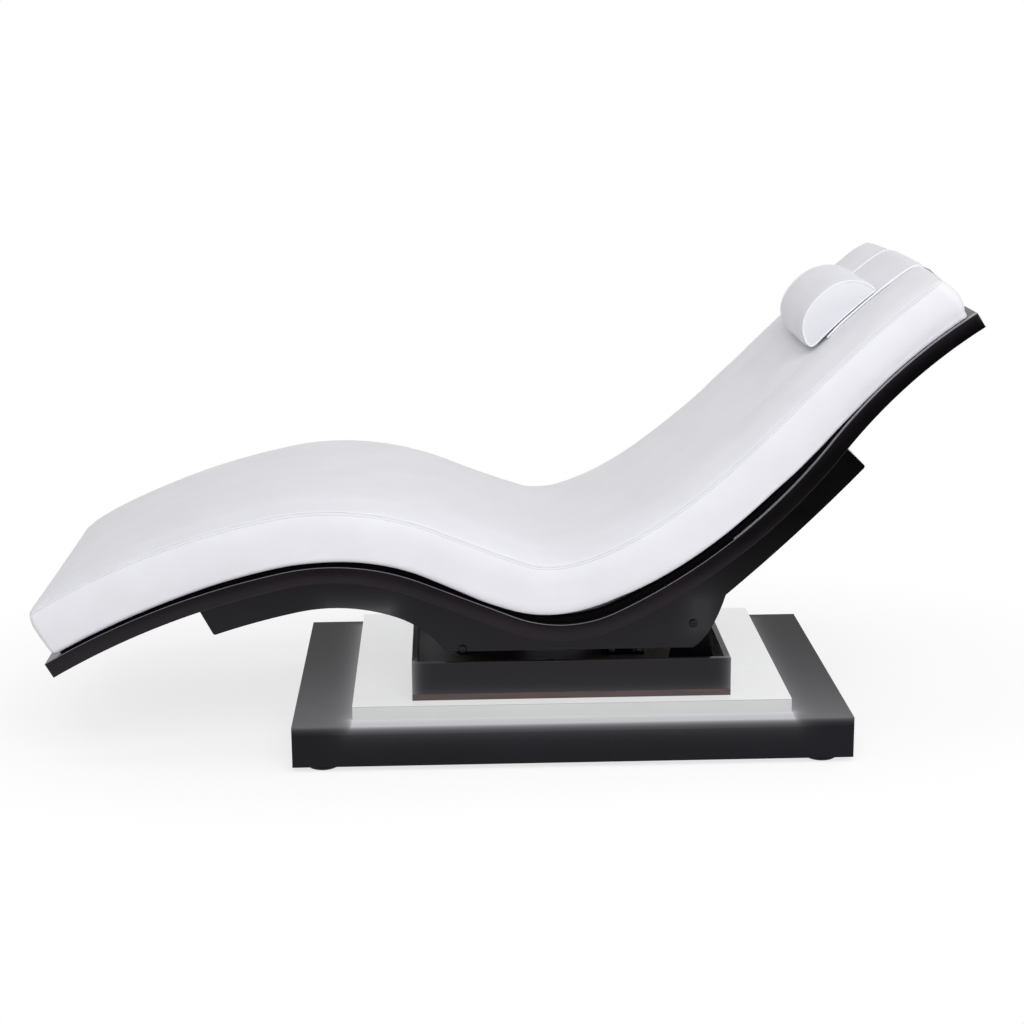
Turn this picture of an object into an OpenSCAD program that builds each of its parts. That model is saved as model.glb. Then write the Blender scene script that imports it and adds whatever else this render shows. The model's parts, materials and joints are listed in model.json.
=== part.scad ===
// Spa relaxation lounger: a wave-shaped padded deck that tilts on a low plinth with a lit slab.
// The foot end points to -X, the head end to +X, and the floor is Z = 0.
// X = 0 and Y = 0 are the middle of the whole outline. The pedestal's own middle lies at X = -x_mid.

/* [Wave line] */
// The wave line is the top of the deck, seen from the side: a chain of arcs that run into each other.
// Where the seat bend starts, measured from the pedestal's middle towards the foot end
seat_start_x = 123; // [110:1:135]
// Where the seat bend starts, above the floor
seat_start_z = 327; // [322:1:340]
// Fall of the straight lap stretch, in degrees
lap_slope = 22; // [21:0.5:23]
// Length of the leg arc, which bends down
leg_len = 527; // [460:1:580]
// Radius of the leg arc
leg_r = 1665; // [1400:5:2000]
// Length of the knee arc, which bends down
knee_len = 290; // [270:5:310]
// Radius of the knee arc
knee_r = 495; // [470:5:530]
// Length of the straight lap stretch
lap_len = 200; // [185:5:215]
// Length of the seat bend, which bends up
seat_len = 218; // [210:1:224]
// Radius of the seat bend
seat_r = 265; // [258:1:275]
// Length of the back arc, which bends up
back_len = 565; // [540:5:600]
// Radius of the back arc
back_r = 1190; // [1100:5:1300]
// Length of the head arc, which bends down
head_len = 385; // [370:5:420]
// Radius of the head arc
head_r = 1105; // [1000:5:1300]

/* [Deck and cushion] */
// Width of the bent plywood deck
deck_w = 750; // [700:5:800]
// Thickness of the deck
deck_t = 34; // [28:1:38]
// Thickness of the black board under the cushion
board_t = 10; // [8:1:14]
// How far the board stays inside the deck's long edges
board_inset = 15; // [8:1:30]
// How far the cushion stays inside the deck's long edges
cushion_inset = 1; // [0:1:25]
// Thickness of the cushion at the foot end
cushion_foot_t = 101; // [80:1:110]
// Thickness of the cushion in the seat
cushion_seat_t = 110; // [90:1:120]
// Thickness of the cushion at the head end
cushion_head_t = 90; // [80:1:105]
// Rise of the cushion's crown above its side seams
crown = 8; // [4:1:14]
// Rounding of the cushion's upper edges
cushion_edge = 17; // [10:1:24]
// How far the long sides draw in at the middle of their length
side_draw = 5; // [2:1:10]
// Distance from the deck's foot end to the cushion
foot_gap = 29; // [18:1:40]
// Distance from the cushion to the deck's head end
head_gap = 14; // [12:1:40]

/* [Neck bolster] */
// Length of the bolster, across the back
bolster_l = 300; // [240:5:360]
// Width of the bolster's flat side, along the back
bolster_w = 148; // [120:2:170]
// Height of the bolster over its band
bolster_h = 76; // [60:1:90]
// Distance from the deck's head end to the middle of the bolster
bolster_from_head = 188; // [160:2:220]
// How far the bolster slides each way from its middle place
bolster_travel = 40; // [20:5:40]
// Thickness of the band under the bolster
band_t = 2.5; // [2:0.5:4]

/* [Keel] */
// Depth of the keel under the wave line
keel_d = 110; // [100:1:120]
// Distance from the deck's foot end to the keel, along the deck
keel_from_foot = 320; // [280:2:380]
// Distance from the keel to the deck's head end, along the deck
keel_from_head = 380; // [340:2:440]
// How far the keel's foot end slants inwards from the deck to its underside
keel_foot_lean = 13; // [0:1:18]
// How far the keel's head end slants inwards from the deck to its underside
keel_head_lean = 8; // [0:1:14]
// Rounding of the lower corners at the keel's ends
keel_corner = 5; // [2:1:7]
// How far the keel stays inside the deck's long edges
keel_inset = 83; // [78:1:95]
// Thickness of the side panels
panel_t = 18; // [14:1:22]
// Thickness of the bent skins and of the boards at the keel's ends
skin_t = 8; // [6:1:9]
// Height of the keel's flat underside above the floor
belly_z = 229; // [222:1:236]
// Distance from the pedestal's middle to the front corner of the flat underside
belly_foot_x = 264; // [255:1:275]

/* [Tilt mechanism] */
// Distance of the pivot from the pedestal's middle, towards the head end
pivot_x = 257; // [245:1:262]
// Height of the pivot above the floor
pivot_z = 282; // [276:1:290]
// Distance of the lift shaft from the pedestal's middle, towards the foot end
lift_x = 228; // [220:1:236]
// Height of the lift shaft above the floor
lift_z = 234; // [233:1:238]
// Distance of the actuator's fixed pin from the pedestal's middle
actuator_x = 135; // [120:1:150]
// Height of the actuator's fixed pin above the floor
actuator_z = 184; // [182:1:188]
// Diameter of the pivot axle
axle_d = 25; // [20:1:30]
// Diameter of the lift shaft
lift_shaft_d = 18; // [16:1:20]
// Diameter of the actuator's rod
rod_d = 18; // [14:1:22]
// Outer diameter of the actuator's tube
tube_d = 40; // [34:1:44]
// Thickness of the steel tilt plates
tilt_t = 8; // [6:1:10]
// Thickness of the pivot brackets
bracket_t = 12; // [8:1:14]

/* [Pedestal] */
// Length of the plinth
plinth_l = 1170; // [1080:10:1260]
// Width of the plinth
plinth_w = 770; // [740:10:820]
// Height of the plinth without its glides
plinth_h = 87; // [80:1:100]
// Thickness of the plinth's top board and aprons
plinth_t = 18; // [15:1:22]
// Thickness of the plinth's bottom board
base_t = 9; // [6:1:12]
// Height of the glides
glide_h = 12; // [10:1:16]
// Diameter of the glides
glide_d = 74; // [60:2:80]
// How far the glides draw in towards the floor
glide_dish = 12; // [6:1:16]
// Distance from the plinth's ends to the middle of each glide
glide_inset = 62; // [50:2:70]
// Distance from the plinth's long sides to the middle of each glide
glide_side_inset = 42; // [40:1:50]
// Length of the glowing slab
slab_l = 920; // [860:10:980]
// Width of the glowing slab
slab_w = 687; // [660:1:710]
// Thickness of the glowing slab
slab_t = 30; // [26:1:34]
// Length of the trough
trough_l = 670; // [655:5:700]
// Gap between the keel's side panels and the trough's walls
keel_gap = 9; // [7:1:14]
// Height of the trough with its floor board
trough_h = 82; // [76:1:84]
// Thickness of the trough's walls
trough_t = 12; // [10:1:12]
// Thickness of the trough's floor board
trough_floor_t = 14; // [10:1:16]

/* [Hidden] */
$fn = 48;

// Colours
lacquer = [0.15, 0.14, 0.16];
espresso = [0.17, 0.13, 0.14];
brown_edge = [0.35, 0.25, 0.24];
raw_wood = [0.76, 0.62, 0.45];
white_hide = [0.88, 0.88, 0.91];
acrylic = [0.95, 0.96, 0.95];
black = [0.08, 0.08, 0.09];
steel = [0.62, 0.63, 0.65];
bronze = [0.72, 0.52, 0.28];
led_green = [0.85, 0.88, 0.80];

// Clearances
soft_gap = 0.3;
run_gap = 0.05;
bolt_gap = 0.3;
panel_gap = 1;
joint_gap = 0.3;
end_gap = 1;
eye_slack = 2.2;
over = 2;

// Sampling of the wave line
wave_piece = 24;

// Heights of the pedestal's levels
plinth_z = glide_h + plinth_h;
slab_z = plinth_z + slab_t;
trough_floor_z = slab_z + trough_floor_t;
bay_z = glide_h + base_t;
bay_h = plinth_h - plinth_t - base_t;

// The wave line. A station is [x, z, heading]; a curvature is positive where the line turns up.
seat_start = [-seat_start_x, seat_start_z, -lap_slope];
lap_start = step_on(seat_start, -lap_len, 0);
knee_start = step_on(lap_start, -knee_len, -1 / knee_r);
leg_start = step_on(knee_start, -leg_len, -1 / leg_r);
back_start = step_on(seat_start, seat_len, 1 / seat_r);
head_start = step_on(back_start, back_len, 1 / back_r);
starts = [leg_start, knee_start, lap_start, seat_start, back_start, head_start];
bends = [-1 / leg_r, -1 / knee_r, 0, 1 / seat_r, 1 / back_r, -1 / head_r];
knee_s = leg_len;
lap_s = knee_s + knee_len;
seat_s = lap_s + lap_len;
back_s = seat_s + seat_len;
head_s = back_s + back_len;
wave_l = head_s + head_len;
start_ss = [0, knee_s, lap_s, seat_s, back_s, head_s];

function step_on(st, len, k) =
    let (a = st[2], b = a + k * len * 180 / PI)
    k == 0
        ? [st[0] + len * cos(a), st[1] + len * sin(a), a]
        : [st[0] + (sin(b) - sin(a)) / k, st[1] + (cos(a) - cos(b)) / k, b];

// Point of the wave line at length s from the foot end, and off above the line
function wave_station(s) =
    let (i = len([for (j = [1:len(start_ss) - 1]) if (s >= start_ss[j]) j]))
    step_on(starts[i], s - start_ss[i], bends[i]);
function wave(s, off = 0) =
    let (st = wave_station(s))
    [st[0] - off * sin(st[2]), st[1] + off * cos(st[2])];

// Points along the wave line from s0 to s1, and the closed band between two offsets
function along(s0, s1, off) =
    let (n = ceil(abs(s1 - s0) / wave_piece))
    [for (i = [0:n]) wave(s0 + (s1 - s0) * i / n, off)];
function band(s0, s1, low, high) = concat(along(s0, s1, low), along(s1, s0, high));

// Points of a curve that starts towards c from p and ends from c towards q
function bow(p, c, q, n) =
    [for (i = [0:n]) let (t = i / n) (1 - t) * (1 - t) * p + 2 * t * (1 - t) * c + t * t * q];

// The same line moved sideways by d, to the left of its direction
function shifted(pts, d) =
    [for (i = [0:len(pts) - 1])
        let (a = pts[max(i - 1, 0)], b = pts[min(i + 1, len(pts) - 1)], t = (b - a) / norm(b - a))
        pts[i] + d * [-t[1], t[0]]];
function back_to_front(pts) = [for (i = [len(pts) - 1:-1:0]) pts[i]];

// Smooth step from 0 to 1
function ease(u) = let (v = min(max(u, 0), 1)) v * v * (3 - 2 * v);

// Cushion
cushion_w = deck_w - 2 * cushion_inset;
cushion_s0 = foot_gap;
cushion_s1 = wave_l - head_gap;
cushion_low = joint_gap + board_t + soft_gap;
ring_counts = [9, 9, 3, 6, 8, 8];
cushion_mid_s = seat_s + seat_len / 2;
thin_from_share = 0.55;
thin_to_share = 0.15;
thin_s0 = back_s + back_len * thin_from_share;
thin_s1 = head_s + head_len * thin_to_share;
side_in_shares = [0.45, 0.15, 0, 0, 0.1, 0.4, 1];
side_up_shares = [0, 0.1, 0.32, 0.6, 0.84, 0.95, 1];
crown_at_shares = [0.8, 0.5, 0.2, -0.2, -0.5, -0.8];
end_turns = [75, 45, 20];
end_bulge = 6;
crown_power = 4;
function cushion_t(s) =
    cushion_foot_t + (cushion_seat_t - cushion_foot_t) * ease(s / cushion_mid_s)
        + (cushion_head_t - cushion_seat_t) * ease((s - thin_s0) / (thin_s1 - thin_s0));
function cushion_half(s) =
    cushion_w / 2 - side_draw * sin(180 * (s - cushion_s0) / (cushion_s1 - cushion_s0));

// One cross-section of the cushion as [y, off], drawn in all round by inset
function cushion_ring(s, inset) =
    let (half = cushion_half(s) - inset, low = cushion_low + inset / 2,
        high = cushion_low + cushion_t(s) - inset,
        side = [for (i = [0:len(side_in_shares) - 1])
            [half - cushion_edge * side_in_shares[i], low + (high - low) * side_up_shares[i]]],
        flat = half - cushion_edge)
    concat(
        [for (p = side) [-p[0], p[1]]],
        [for (a = crown_at_shares) [-flat * a, high + crown * (1 - pow(abs(a), crown_power))]],
        [for (p = back_to_front(side)) p]);
function ring_3d(s, inset) =
    [for (p = cushion_ring(s, inset)) let (w = wave(s, p[1])) [w[0], p[0], w[1]]];

// Outline limits along X: the cushion's foot end and the deck's head end
x_low = min(concat([for (a = end_turns)
    for (p = ring_3d(cushion_s0 + cushion_edge * (1 - sin(a)), cushion_edge * (1 - cos(a)))) p[0]],
    [wave(cushion_s0 - end_bulge, cushion_low + cushion_foot_t / 2)[0], wave(0, 0)[0]]));
x_high = wave(wave_l, -deck_t)[0];
x_mid = (x_low + x_high) / 2;

// Bolster and its band
band_low = cushion_low + cushion_head_t + crown + soft_gap;
bolster_low = band_low + band_t + soft_gap;
bolster_s = wave_l - bolster_from_head;
bolster_edge = 9;
bolster_rings = 6;
bolster_power = 2.4;
bolster_lean = 14;
end_power = 6;
dome_steps = 16;
flat_steps = 6;
band_s0 = bolster_s - bolster_w / 2 + bolster_travel + bolster_edge;
band_s1 = cushion_s1 - cushion_edge;
band_w = bolster_l;

// Keel
keel_w = deck_w - 2 * keel_inset;
keel_top = -deck_t - joint_gap;
keel_s0 = keel_from_foot;
keel_s1 = wave_l - keel_from_head;
keel_low0 = keel_s0 + keel_foot_lean;
keel_low1 = keel_s1 - keel_head_lean;
keel_y = keel_w / 2;
inner_y = keel_y - panel_t;
tilt_y = inner_y - tilt_t;
belly_before_lap = 20;
heel_past_seat = 200;
belly_s0 = lap_s - belly_before_lap;
belly_s1 = back_s + heel_past_seat;
head_sag = 10;
belly_lead = 62;
heel_out = 40;
heel_up = 24;
bow_steps = 8;
// Straight pieces in each small rounded corner of the keel
corner_steps = 3;
batten_w = 40;
batten_t = 25;
batten_shares = [0.1, 0.2, 0.34, 0.44, 0.55, 0.79, 0.91];
batten_ss = [for (u = batten_shares) keel_s0 + (keel_s1 - keel_s0) * u];

// Tilt mechanism
pivot = [pivot_x, pivot_z];
lift = [-lift_x, lift_z];
anchor = [actuator_x, actuator_z];
lug_wall = 10;
hub_wall = 18;
lug_r = lift_shaft_d / 2 + lug_wall;
hub_r = axle_d / 2 + hub_wall;
plate_bend_x = 60;
bush_wall = 3.5;
bush_lip = 2;
bracket_gap = 4;
bracket_y = tilt_y - bracket_gap;
bracket_foot_l = 120;
bracket_foot_w = 48;
bracket_foot_t = 8;
bracket_wall = 14;
bracket_r = axle_d / 2 + bush_wall + bracket_wall;
neck_share = 0.9;
bracket_bolt_out = 42;
bracket_bolt_d = 8;
floor_nut_d = 14;
floor_nut_h = 5;
bolt_d = 10;
bolt_head_d = 19;
bolt_head_h = 6;
bolt_grip = 30;
socket_d = 6;
socket_h = 3;

// Actuator, along its own line from the fixed pin to the lift shaft
reach = norm(lift - anchor);
actuator_tilt = atan2(lift[1] - anchor[1], anchor[0] - lift[0]);
pin_d = 12;
pin_head_d = 18;
eye_r = 18;
eye_w = 30;
ear_t = 8;
ear_gap = 1;
ear_foot_t = 6;
ear_foot_l = 84;
ear_foot_w = 120;
ear_bolt_x = 30;
ear_bolt_y = 46;
gearbox_x0 = 24;
gearbox_l = 66;
gearbox_h = 50;
gearbox_side = 30;
motor_y = 62;
motor_d = 50;
motor_l = 110;
tube_l = 205;
tube_wall = 3;
collar_l = 16;
rod_in = 60;
rod_eye_wall = 4.5;
rod_eye_r = lift_shaft_d / 2 + eye_slack + rod_eye_wall;
rod_neck = 14;
rod_neck_d = 21;
rod_eye_w = 24;

// Pedestal details
stud_d = 10;
stud_up = 26;
block_w = 60;
rail_w = 50;
rail_wall = 3;
clamp_gap = 4.5;
rail_y = bracket_y - bracket_foot_w - clamp_gap - bolt_head_d / 2;
rail_end_gap = 10;
trough_w = keel_w + 2 * (keel_gap + trough_t);
crossbar_x = 400;
screw_head_d = 9;
screw_head_h = 4;
screw_d = 4.5;
screw_l = 30;
clamp_x = 240;
clamp_d = 10;
clamp_nut_d = 17;
clamp_nut_h = 8;
spacer_d = 24;
tray_border = 30;
tray_t = 6;
strip_t = 2;
strip_w = 10;
strip_rows = 6;
chip_w = 5;
chip_t = 1.2;
chip_count = 14;
strip_end = 20;
driver_l = 180;
driver_w = 60;
driver_h = 36;
driver_x = 250;
driver_y = 60;
box_l = 140;
box_w = 100;
box_h = 38;
box_x = 150;
box_y = 130;
inlet_x = 420;
inlet_z = bay_z + bay_h / 2;
inlet_w = 48;
inlet_h = 30;
inlet_t = 2;
inlet_body_w = 40;
inlet_body_h = 24;
inlet_body_l = 26;
inlet_well = 16;
inlet_pin_t = 2;
inlet_pin_h = 4;
inlet_pin_pitch = 7;
inlet_wall = 4;

// Shared shapes

// Moves the pedestal's own frame to the frame of the whole outline
module settle() translate([-x_mid, 0, 0]) children();

// A plate with its side view given in X and Z, from y0 to y1
module side_plate(pts, y0, y1) translate([0, y1, 0]) rotate([90, 0, 0])
    linear_extrude(y1 - y0) polygon(pts);

// A cylinder along Y through p = [x, z], from y0 to y1
module cross_pin(p, r, y0, y1) translate([p[0], y1, p[1]]) rotate([90, 0, 0])
    cylinder(r = r, h = y1 - y0);

// A box given by its middle in X and Y and its underside in Z
module slab_box(at, size) translate([at[0] - size[0] / 2, at[1] - size[1] / 2, at[2]]) cube(size);

// The four corners of a rectangle
module four(x, y) for (i = [-1, 1], j = [-1, 1]) translate([i * x, j * y, 0]) children();

// A closed skin over rings of points, with a raised middle at both ends
module skinned(rings, tip0, tip1) {
    n = len(rings[0]);
    m = len(rings);
    points = concat([for (r = rings) for (p = r) p], [tip0, tip1]);
    sides = [for (i = [0:m - 2]) for (j = [0:n - 1])
        let (a = i * n + j, b = i * n + (j + 1) % n, c = b + n, d = a + n)
        each [[a, b, c], [a, c, d]]];
    caps = [for (j = [0:n - 1]) let (k = (j + 1) % n, z = (m - 1) * n)
        each [[m * n, k, j], [m * n + 1, z + j, z + k]]];
    polyhedron(points, concat(sides, caps));
}

// Pedestal

module glide_pads() settle() color(black)
    four(plinth_l / 2 - glide_inset, plinth_w / 2 - glide_side_inset) difference() {
        rotate_extrude() polygon(concat(
            [[0, 0]],
            [for (a = [0:15:90]) [glide_d / 2 - glide_dish * (1 - sin(a)), glide_h * (1 - cos(a))]],
            [[0, glide_h]]));
        translate([0, 0, glide_h / 2]) cylinder(d = stud_d, h = glide_h);
    }

module glide_studs() settle() color(steel)
    four(plinth_l / 2 - glide_inset, plinth_w / 2 - glide_side_inset)
        translate([0, 0, glide_h / 2]) cylinder(d = stud_d, h = glide_h / 2 + base_t + stud_up);

module corner_blocks() settle() color(raw_wood) difference() {
    four(plinth_l / 2 - plinth_t - block_w / 2, plinth_w / 2 - plinth_t - block_w / 2)
        slab_box([0, 0, bay_z], [block_w, block_w, bay_h]);
    four(plinth_l / 2 - glide_inset, plinth_w / 2 - glide_side_inset)
        translate([0, 0, bay_z - over]) cylinder(d = stud_d, h = stud_up + over);
    at_bottom_screws() screw();
}

module plinth_top() settle() color(lacquer) difference() {
    slab_box([0, 0, plinth_z - plinth_t], [plinth_l, plinth_w, plinth_t]);
    four(clamp_x, rail_y) translate([0, 0, plinth_z - plinth_t - over])
        cylinder(d = clamp_d + 2 * bolt_gap, h = plinth_t + 2 * over);
}

module long_apron(side) slab_box([0, side * (plinth_w - plinth_t) / 2, glide_h],
    [plinth_l, plinth_t, plinth_h - plinth_t]);
module short_apron(side) slab_box([side * (plinth_l - plinth_t) / 2, 0, glide_h],
    [plinth_t, plinth_w - 2 * plinth_t, plinth_h - plinth_t]);

module plinth_front() settle() color(lacquer) long_apron(-1);
module plinth_back() settle() color(lacquer) difference() {
    long_apron(1);
    inlet_block(0, inlet_body_w, inlet_body_h, plinth_t + over, over);
    inlet_block(0, inlet_w, inlet_h, inlet_t, over);
}
module plinth_foot_side() settle() color(lacquer) short_apron(-1);
module plinth_head_side() settle() color(lacquer) short_apron(1);

module plinth_bottom() settle() color(raw_wood) difference() {
    slab_box([0, 0, glide_h], [plinth_l - 2 * plinth_t, plinth_w - 2 * plinth_t, base_t]);
    four(plinth_l / 2 - glide_inset, plinth_w / 2 - glide_side_inset)
        translate([0, 0, glide_h - over]) cylinder(d = stud_d, h = base_t + 2 * over);
    at_bottom_screws() screw();
}

// Places of the screws through the bottom board into the corner blocks
module at_bottom_screws()
    for (i = [-1, 1], j = [-1, 1], k = [0, 1])
        translate([i * (plinth_l / 2 - plinth_t - (k == 0 ? 1 : 3) * block_w / 4),
            j * (plinth_w / 2 - plinth_t - (k == 0 ? 3 : 1) * block_w / 4), glide_h])
            children();
module screw() {
    cylinder(d1 = screw_head_d, d2 = screw_d, h = screw_head_h);
    cylinder(d = screw_d, h = screw_l);
}
module bottom_screws() settle() color(steel) at_bottom_screws() screw();

module chassis_rails() settle() color(black) for (j = [-1, 1]) difference() {
    slab_box([0, j * rail_y, bay_z], [plinth_l - 2 * plinth_t - 2 * rail_end_gap, rail_w, bay_h]);
    slab_box([0, j * rail_y, bay_z + rail_wall],
        [plinth_l, rail_w - 2 * rail_wall, bay_h - 2 * rail_wall]);
    for (i = [-1, 1]) translate([i * clamp_x, j * rail_y, bay_z + bay_h / 2])
        cylinder(d = clamp_d + 2 * bolt_gap, h = bay_h);
}

module chassis_crossbars() settle() color(black) for (i = [-1, 1]) difference() {
    slab_box([i * crossbar_x, 0, bay_z], [rail_w, 2 * rail_y - rail_w, bay_h]);
    slab_box([i * crossbar_x, 0, bay_z + rail_wall],
        [rail_w - 2 * rail_wall, 2 * rail_y, bay_h - 2 * rail_wall]);
}

module led_driver() settle() color(steel) {
    slab_box([-driver_x, driver_y, bay_z], [driver_l, driver_w, driver_h]);
    for (i = [-1, 1]) slab_box([i * (driver_l / 2 + driver_w / 8) - driver_x, driver_y, bay_z],
        [driver_w / 4, driver_w * 3 / 4, driver_h / 4]);
}

// A block of the mains inlet, from deep inside the back apron's face to out beyond it
module inlet_block(x, w, h, deep, out)
    translate([x - inlet_x - w / 2, plinth_w / 2 - deep, inlet_z - h / 2]) cube([w, deep + out, h]);

module power_inlet() settle() color(black) difference() {
    union() {
        inlet_block(0, inlet_w, inlet_h, inlet_t, 0);
        inlet_block(0, inlet_body_w, inlet_body_h, inlet_body_l, 0);
    }
    difference() {
        inlet_block(0, inlet_body_w - 2 * inlet_wall, inlet_body_h - 2 * inlet_wall, inlet_well, over);
        for (i = [-1:1]) inlet_block(i * inlet_pin_pitch, inlet_pin_t, inlet_pin_h, inlet_well, -inlet_t);
    }
}

tray_l = slab_l - 2 * tray_border;
tray_w = slab_w - 2 * tray_border;
light_h = tray_t + strip_t + chip_t;

module led_tray() settle() color(steel) difference() {
    slab_box([0, 0, plinth_z], [tray_l - 2 * panel_gap, tray_w - 2 * panel_gap, tray_t]);
    four(clamp_x, rail_y) translate([0, 0, plinth_z - over])
        cylinder(d = spacer_d + 2 * panel_gap, h = tray_t + 2 * over);
}

module led_strips() settle() color(led_green) for (i = [0:strip_rows - 1]) {
    pitch = tray_w / strip_rows;
    run = tray_l - 2 * strip_end;
    y = (i - (strip_rows - 1) / 2) * pitch;
    slab_box([0, y, plinth_z + tray_t], [run, strip_w, strip_t]);
    for (k = [0:chip_count - 1])
        slab_box([(k - (chip_count - 1) / 2) * run / chip_count, y, plinth_z + tray_t + strip_t],
            [chip_w, chip_w, chip_t]);
}

module glow_slab() settle() color(acrylic) difference() {
    slab_box([0, 0, plinth_z], [slab_l, slab_w, slab_t]);
    slab_box([0, 0, plinth_z - over], [tray_l, tray_w, light_h + over + panel_gap]);
    four(clamp_x, rail_y) translate([0, 0, plinth_z]) cylinder(d = spacer_d, h = slab_t + over);
}

module slab_spacers() settle() color(steel) four(clamp_x, rail_y)
    translate([0, 0, plinth_z]) difference() {
        cylinder(d = spacer_d, h = slab_t);
        translate([0, 0, -over]) cylinder(d = clamp_d + 2 * bolt_gap, h = slab_t + 2 * over);
    }

module clamp_bolts() settle() color(steel) four(clamp_x, rail_y) {
    top = trough_floor_z;
    bottom = plinth_z - plinth_t - rail_wall - clamp_nut_h;
    translate([0, 0, bottom]) cylinder(d = clamp_d, h = top - bottom);
    translate([0, 0, top]) cylinder(d = bolt_head_d, h = bolt_head_h);
    translate([0, 0, bottom]) cylinder(d = clamp_nut_d, h = clamp_nut_h, $fn = 6);
}

module trough_floor() settle() color(brown_edge) difference() {
    slab_box([0, 0, slab_z], [trough_l, trough_w, trough_floor_t]);
    four(clamp_x, rail_y) translate([0, 0, slab_z - over])
        cylinder(d = clamp_d + 2 * bolt_gap, h = trough_floor_t + 2 * over);
}

trough_wall_h = trough_h - trough_floor_t;
module long_wall(side) slab_box([0, side * (trough_w - trough_t) / 2, trough_floor_z],
    [trough_l, trough_t, trough_wall_h]);
module short_wall(side) slab_box([side * (trough_l - trough_t) / 2, 0, trough_floor_z],
    [trough_t, trough_w - 2 * trough_t, trough_wall_h]);
module trough_front() settle() color(lacquer) long_wall(-1);
module trough_back() settle() color(lacquer) long_wall(1);
module trough_foot_side() settle() color(lacquer) short_wall(-1);
module trough_head_side() settle() color(lacquer) short_wall(1);

// Tilt mechanism on the trough floor

// Side view of a pivot bracket: a post that ends in a round eye at the pivot
module bracket_view() {
    polygon([[pivot[0] - bracket_foot_l / 2, trough_floor_z], [pivot[0] + bracket_foot_l / 2,
        trough_floor_z], [pivot[0] + bracket_r * neck_share, pivot[1]],
        [pivot[0] - bracket_r * neck_share, pivot[1]]]);
    translate(pivot) circle(r = bracket_r);
}

module pivot_bracket(side) difference() {
    union() {
        translate([0, side > 0 ? bracket_y : bracket_t - bracket_y, 0]) rotate([90, 0, 0])
            linear_extrude(bracket_t) bracket_view();
        slab_box([pivot[0], side * (bracket_y - bracket_foot_w / 2), trough_floor_z],
            [bracket_foot_l, bracket_foot_w, bracket_foot_t]);
    }
    cross_pin(pivot, axle_d / 2 + bush_wall, -deck_w, deck_w);
    at_bracket_bolts() translate([0, 0, trough_floor_z - over])
        cylinder(d = bracket_bolt_d, h = bracket_foot_t + 2 * over);
}
module pivot_bracket_near() settle() color(black) pivot_bracket(-1);
module pivot_bracket_far() settle() color(black) pivot_bracket(1);

module at_bracket_bolts() for (i = [-1, 1], j = [-1, 1])
    translate([pivot[0] + i * bracket_bolt_out, j * (bracket_y - bracket_foot_w + bracket_t), 0])
        children();

module bracket_bolts() settle() color(steel) {
    at_bracket_bolts() floor_bolt(bracket_foot_t);
    at_ear_bolts() floor_bolt(ear_foot_t);
}
module floor_bolt(foot_t) translate([0, 0, trough_floor_z]) {
    cylinder(d = bracket_bolt_d, h = foot_t);
    translate([0, 0, foot_t]) cylinder(d = floor_nut_d, h = floor_nut_h, $fn = 6);
}

module pivot_bushes() settle() color(bronze) for (j = [-1, 1]) difference() {
    cross_pin(pivot, axle_d / 2 + bush_wall, j > 0 ? bracket_y - bracket_t : -bracket_y - bush_lip,
        j > 0 ? bracket_y + bush_lip : bracket_t - bracket_y);
    cross_pin(pivot, axle_d / 2 + run_gap, -deck_w, deck_w);
}

module at_ear_bolts() for (i = [-1, 1], j = [-1, 1])
    translate([anchor[0] + i * ear_bolt_x, j * ear_bolt_y, 0]) children();

module ear_view() {
    polygon([[anchor[0] - eye_r, trough_floor_z], [anchor[0] + eye_r, trough_floor_z],
        [anchor[0] + eye_r * neck_share, anchor[1]], [anchor[0] - eye_r * neck_share, anchor[1]]]);
    translate(anchor) circle(r = eye_r);
}

module actuator_bracket() settle() color(black) difference() {
    union() {
        slab_box([anchor[0], 0, trough_floor_z], [ear_foot_l, ear_foot_w, ear_foot_t]);
        for (y = [eye_w / 2 + ear_gap + ear_t, -eye_w / 2 - ear_gap]) translate([0, y, 0])
            rotate([90, 0, 0]) linear_extrude(ear_t) ear_view();
    }
    cross_pin(anchor, pin_d / 2, -ear_foot_w, ear_foot_w);
    at_ear_bolts() translate([0, 0, trough_floor_z - over])
        cylinder(d = bracket_bolt_d, h = ear_foot_t + 2 * over);
}

module actuator_pin() settle() color(steel) {
    half = eye_w / 2 + ear_gap + ear_t;
    cross_pin(anchor, pin_d / 2, -half - ear_t / 2, half);
    cross_pin(anchor, pin_head_d / 2, half, half + ear_t / 2);
}

module control_box() settle() color(black) difference() {
    slab_box([-box_x, box_y, trough_floor_z], [box_l, box_w, box_h]);
    for (i = [-1, 0, 1])
        slab_box([i * box_l / 4 - box_x, box_y - box_w / 2, trough_floor_z + box_h / 3],
            [box_l / 8, box_w / 6, box_h / 3]);
}

// Lounge: everything that tilts

module deck() settle() color(espresso)
    side_plate(band(0, wave_l, -deck_t, 0), -deck_w / 2, deck_w / 2);

// The keel's lower outline, from the foot end to the head end
belly_foot = [-belly_foot_x, belly_z];
belly_head = [pivot_x, belly_z];
blend_from = wave(belly_s0, -keel_d);
blend_turn = wave_station(belly_s0)[2];
blend_aim = blend_from + belly_lead * [cos(blend_turn), sin(blend_turn)];
heel_aim = belly_head + [heel_out, heel_up];
heel_to = wave(belly_s1, -keel_d);
function foot_run(s0) = concat(along(s0, belly_s0, -keel_d),
    [for (p = bow(blend_from, blend_aim, belly_foot, bow_steps)) if (p != blend_from) p]);
heel_run = bow(belly_head, heel_aim, heel_to, bow_steps);

// The lower edge towards the head end is nearly straight
function head_run(s1) =
    let (to = wave(s1, -keel_d), t = (to - heel_to) / norm(to - heel_to))
    bow(heel_to, (heel_to + to) / 2 + head_sag * [t[1], -t[0]], to, bow_steps);
foot_line = foot_run(keel_low0 + keel_corner);
head_line = head_run(keel_low1 - keel_corner);

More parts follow.
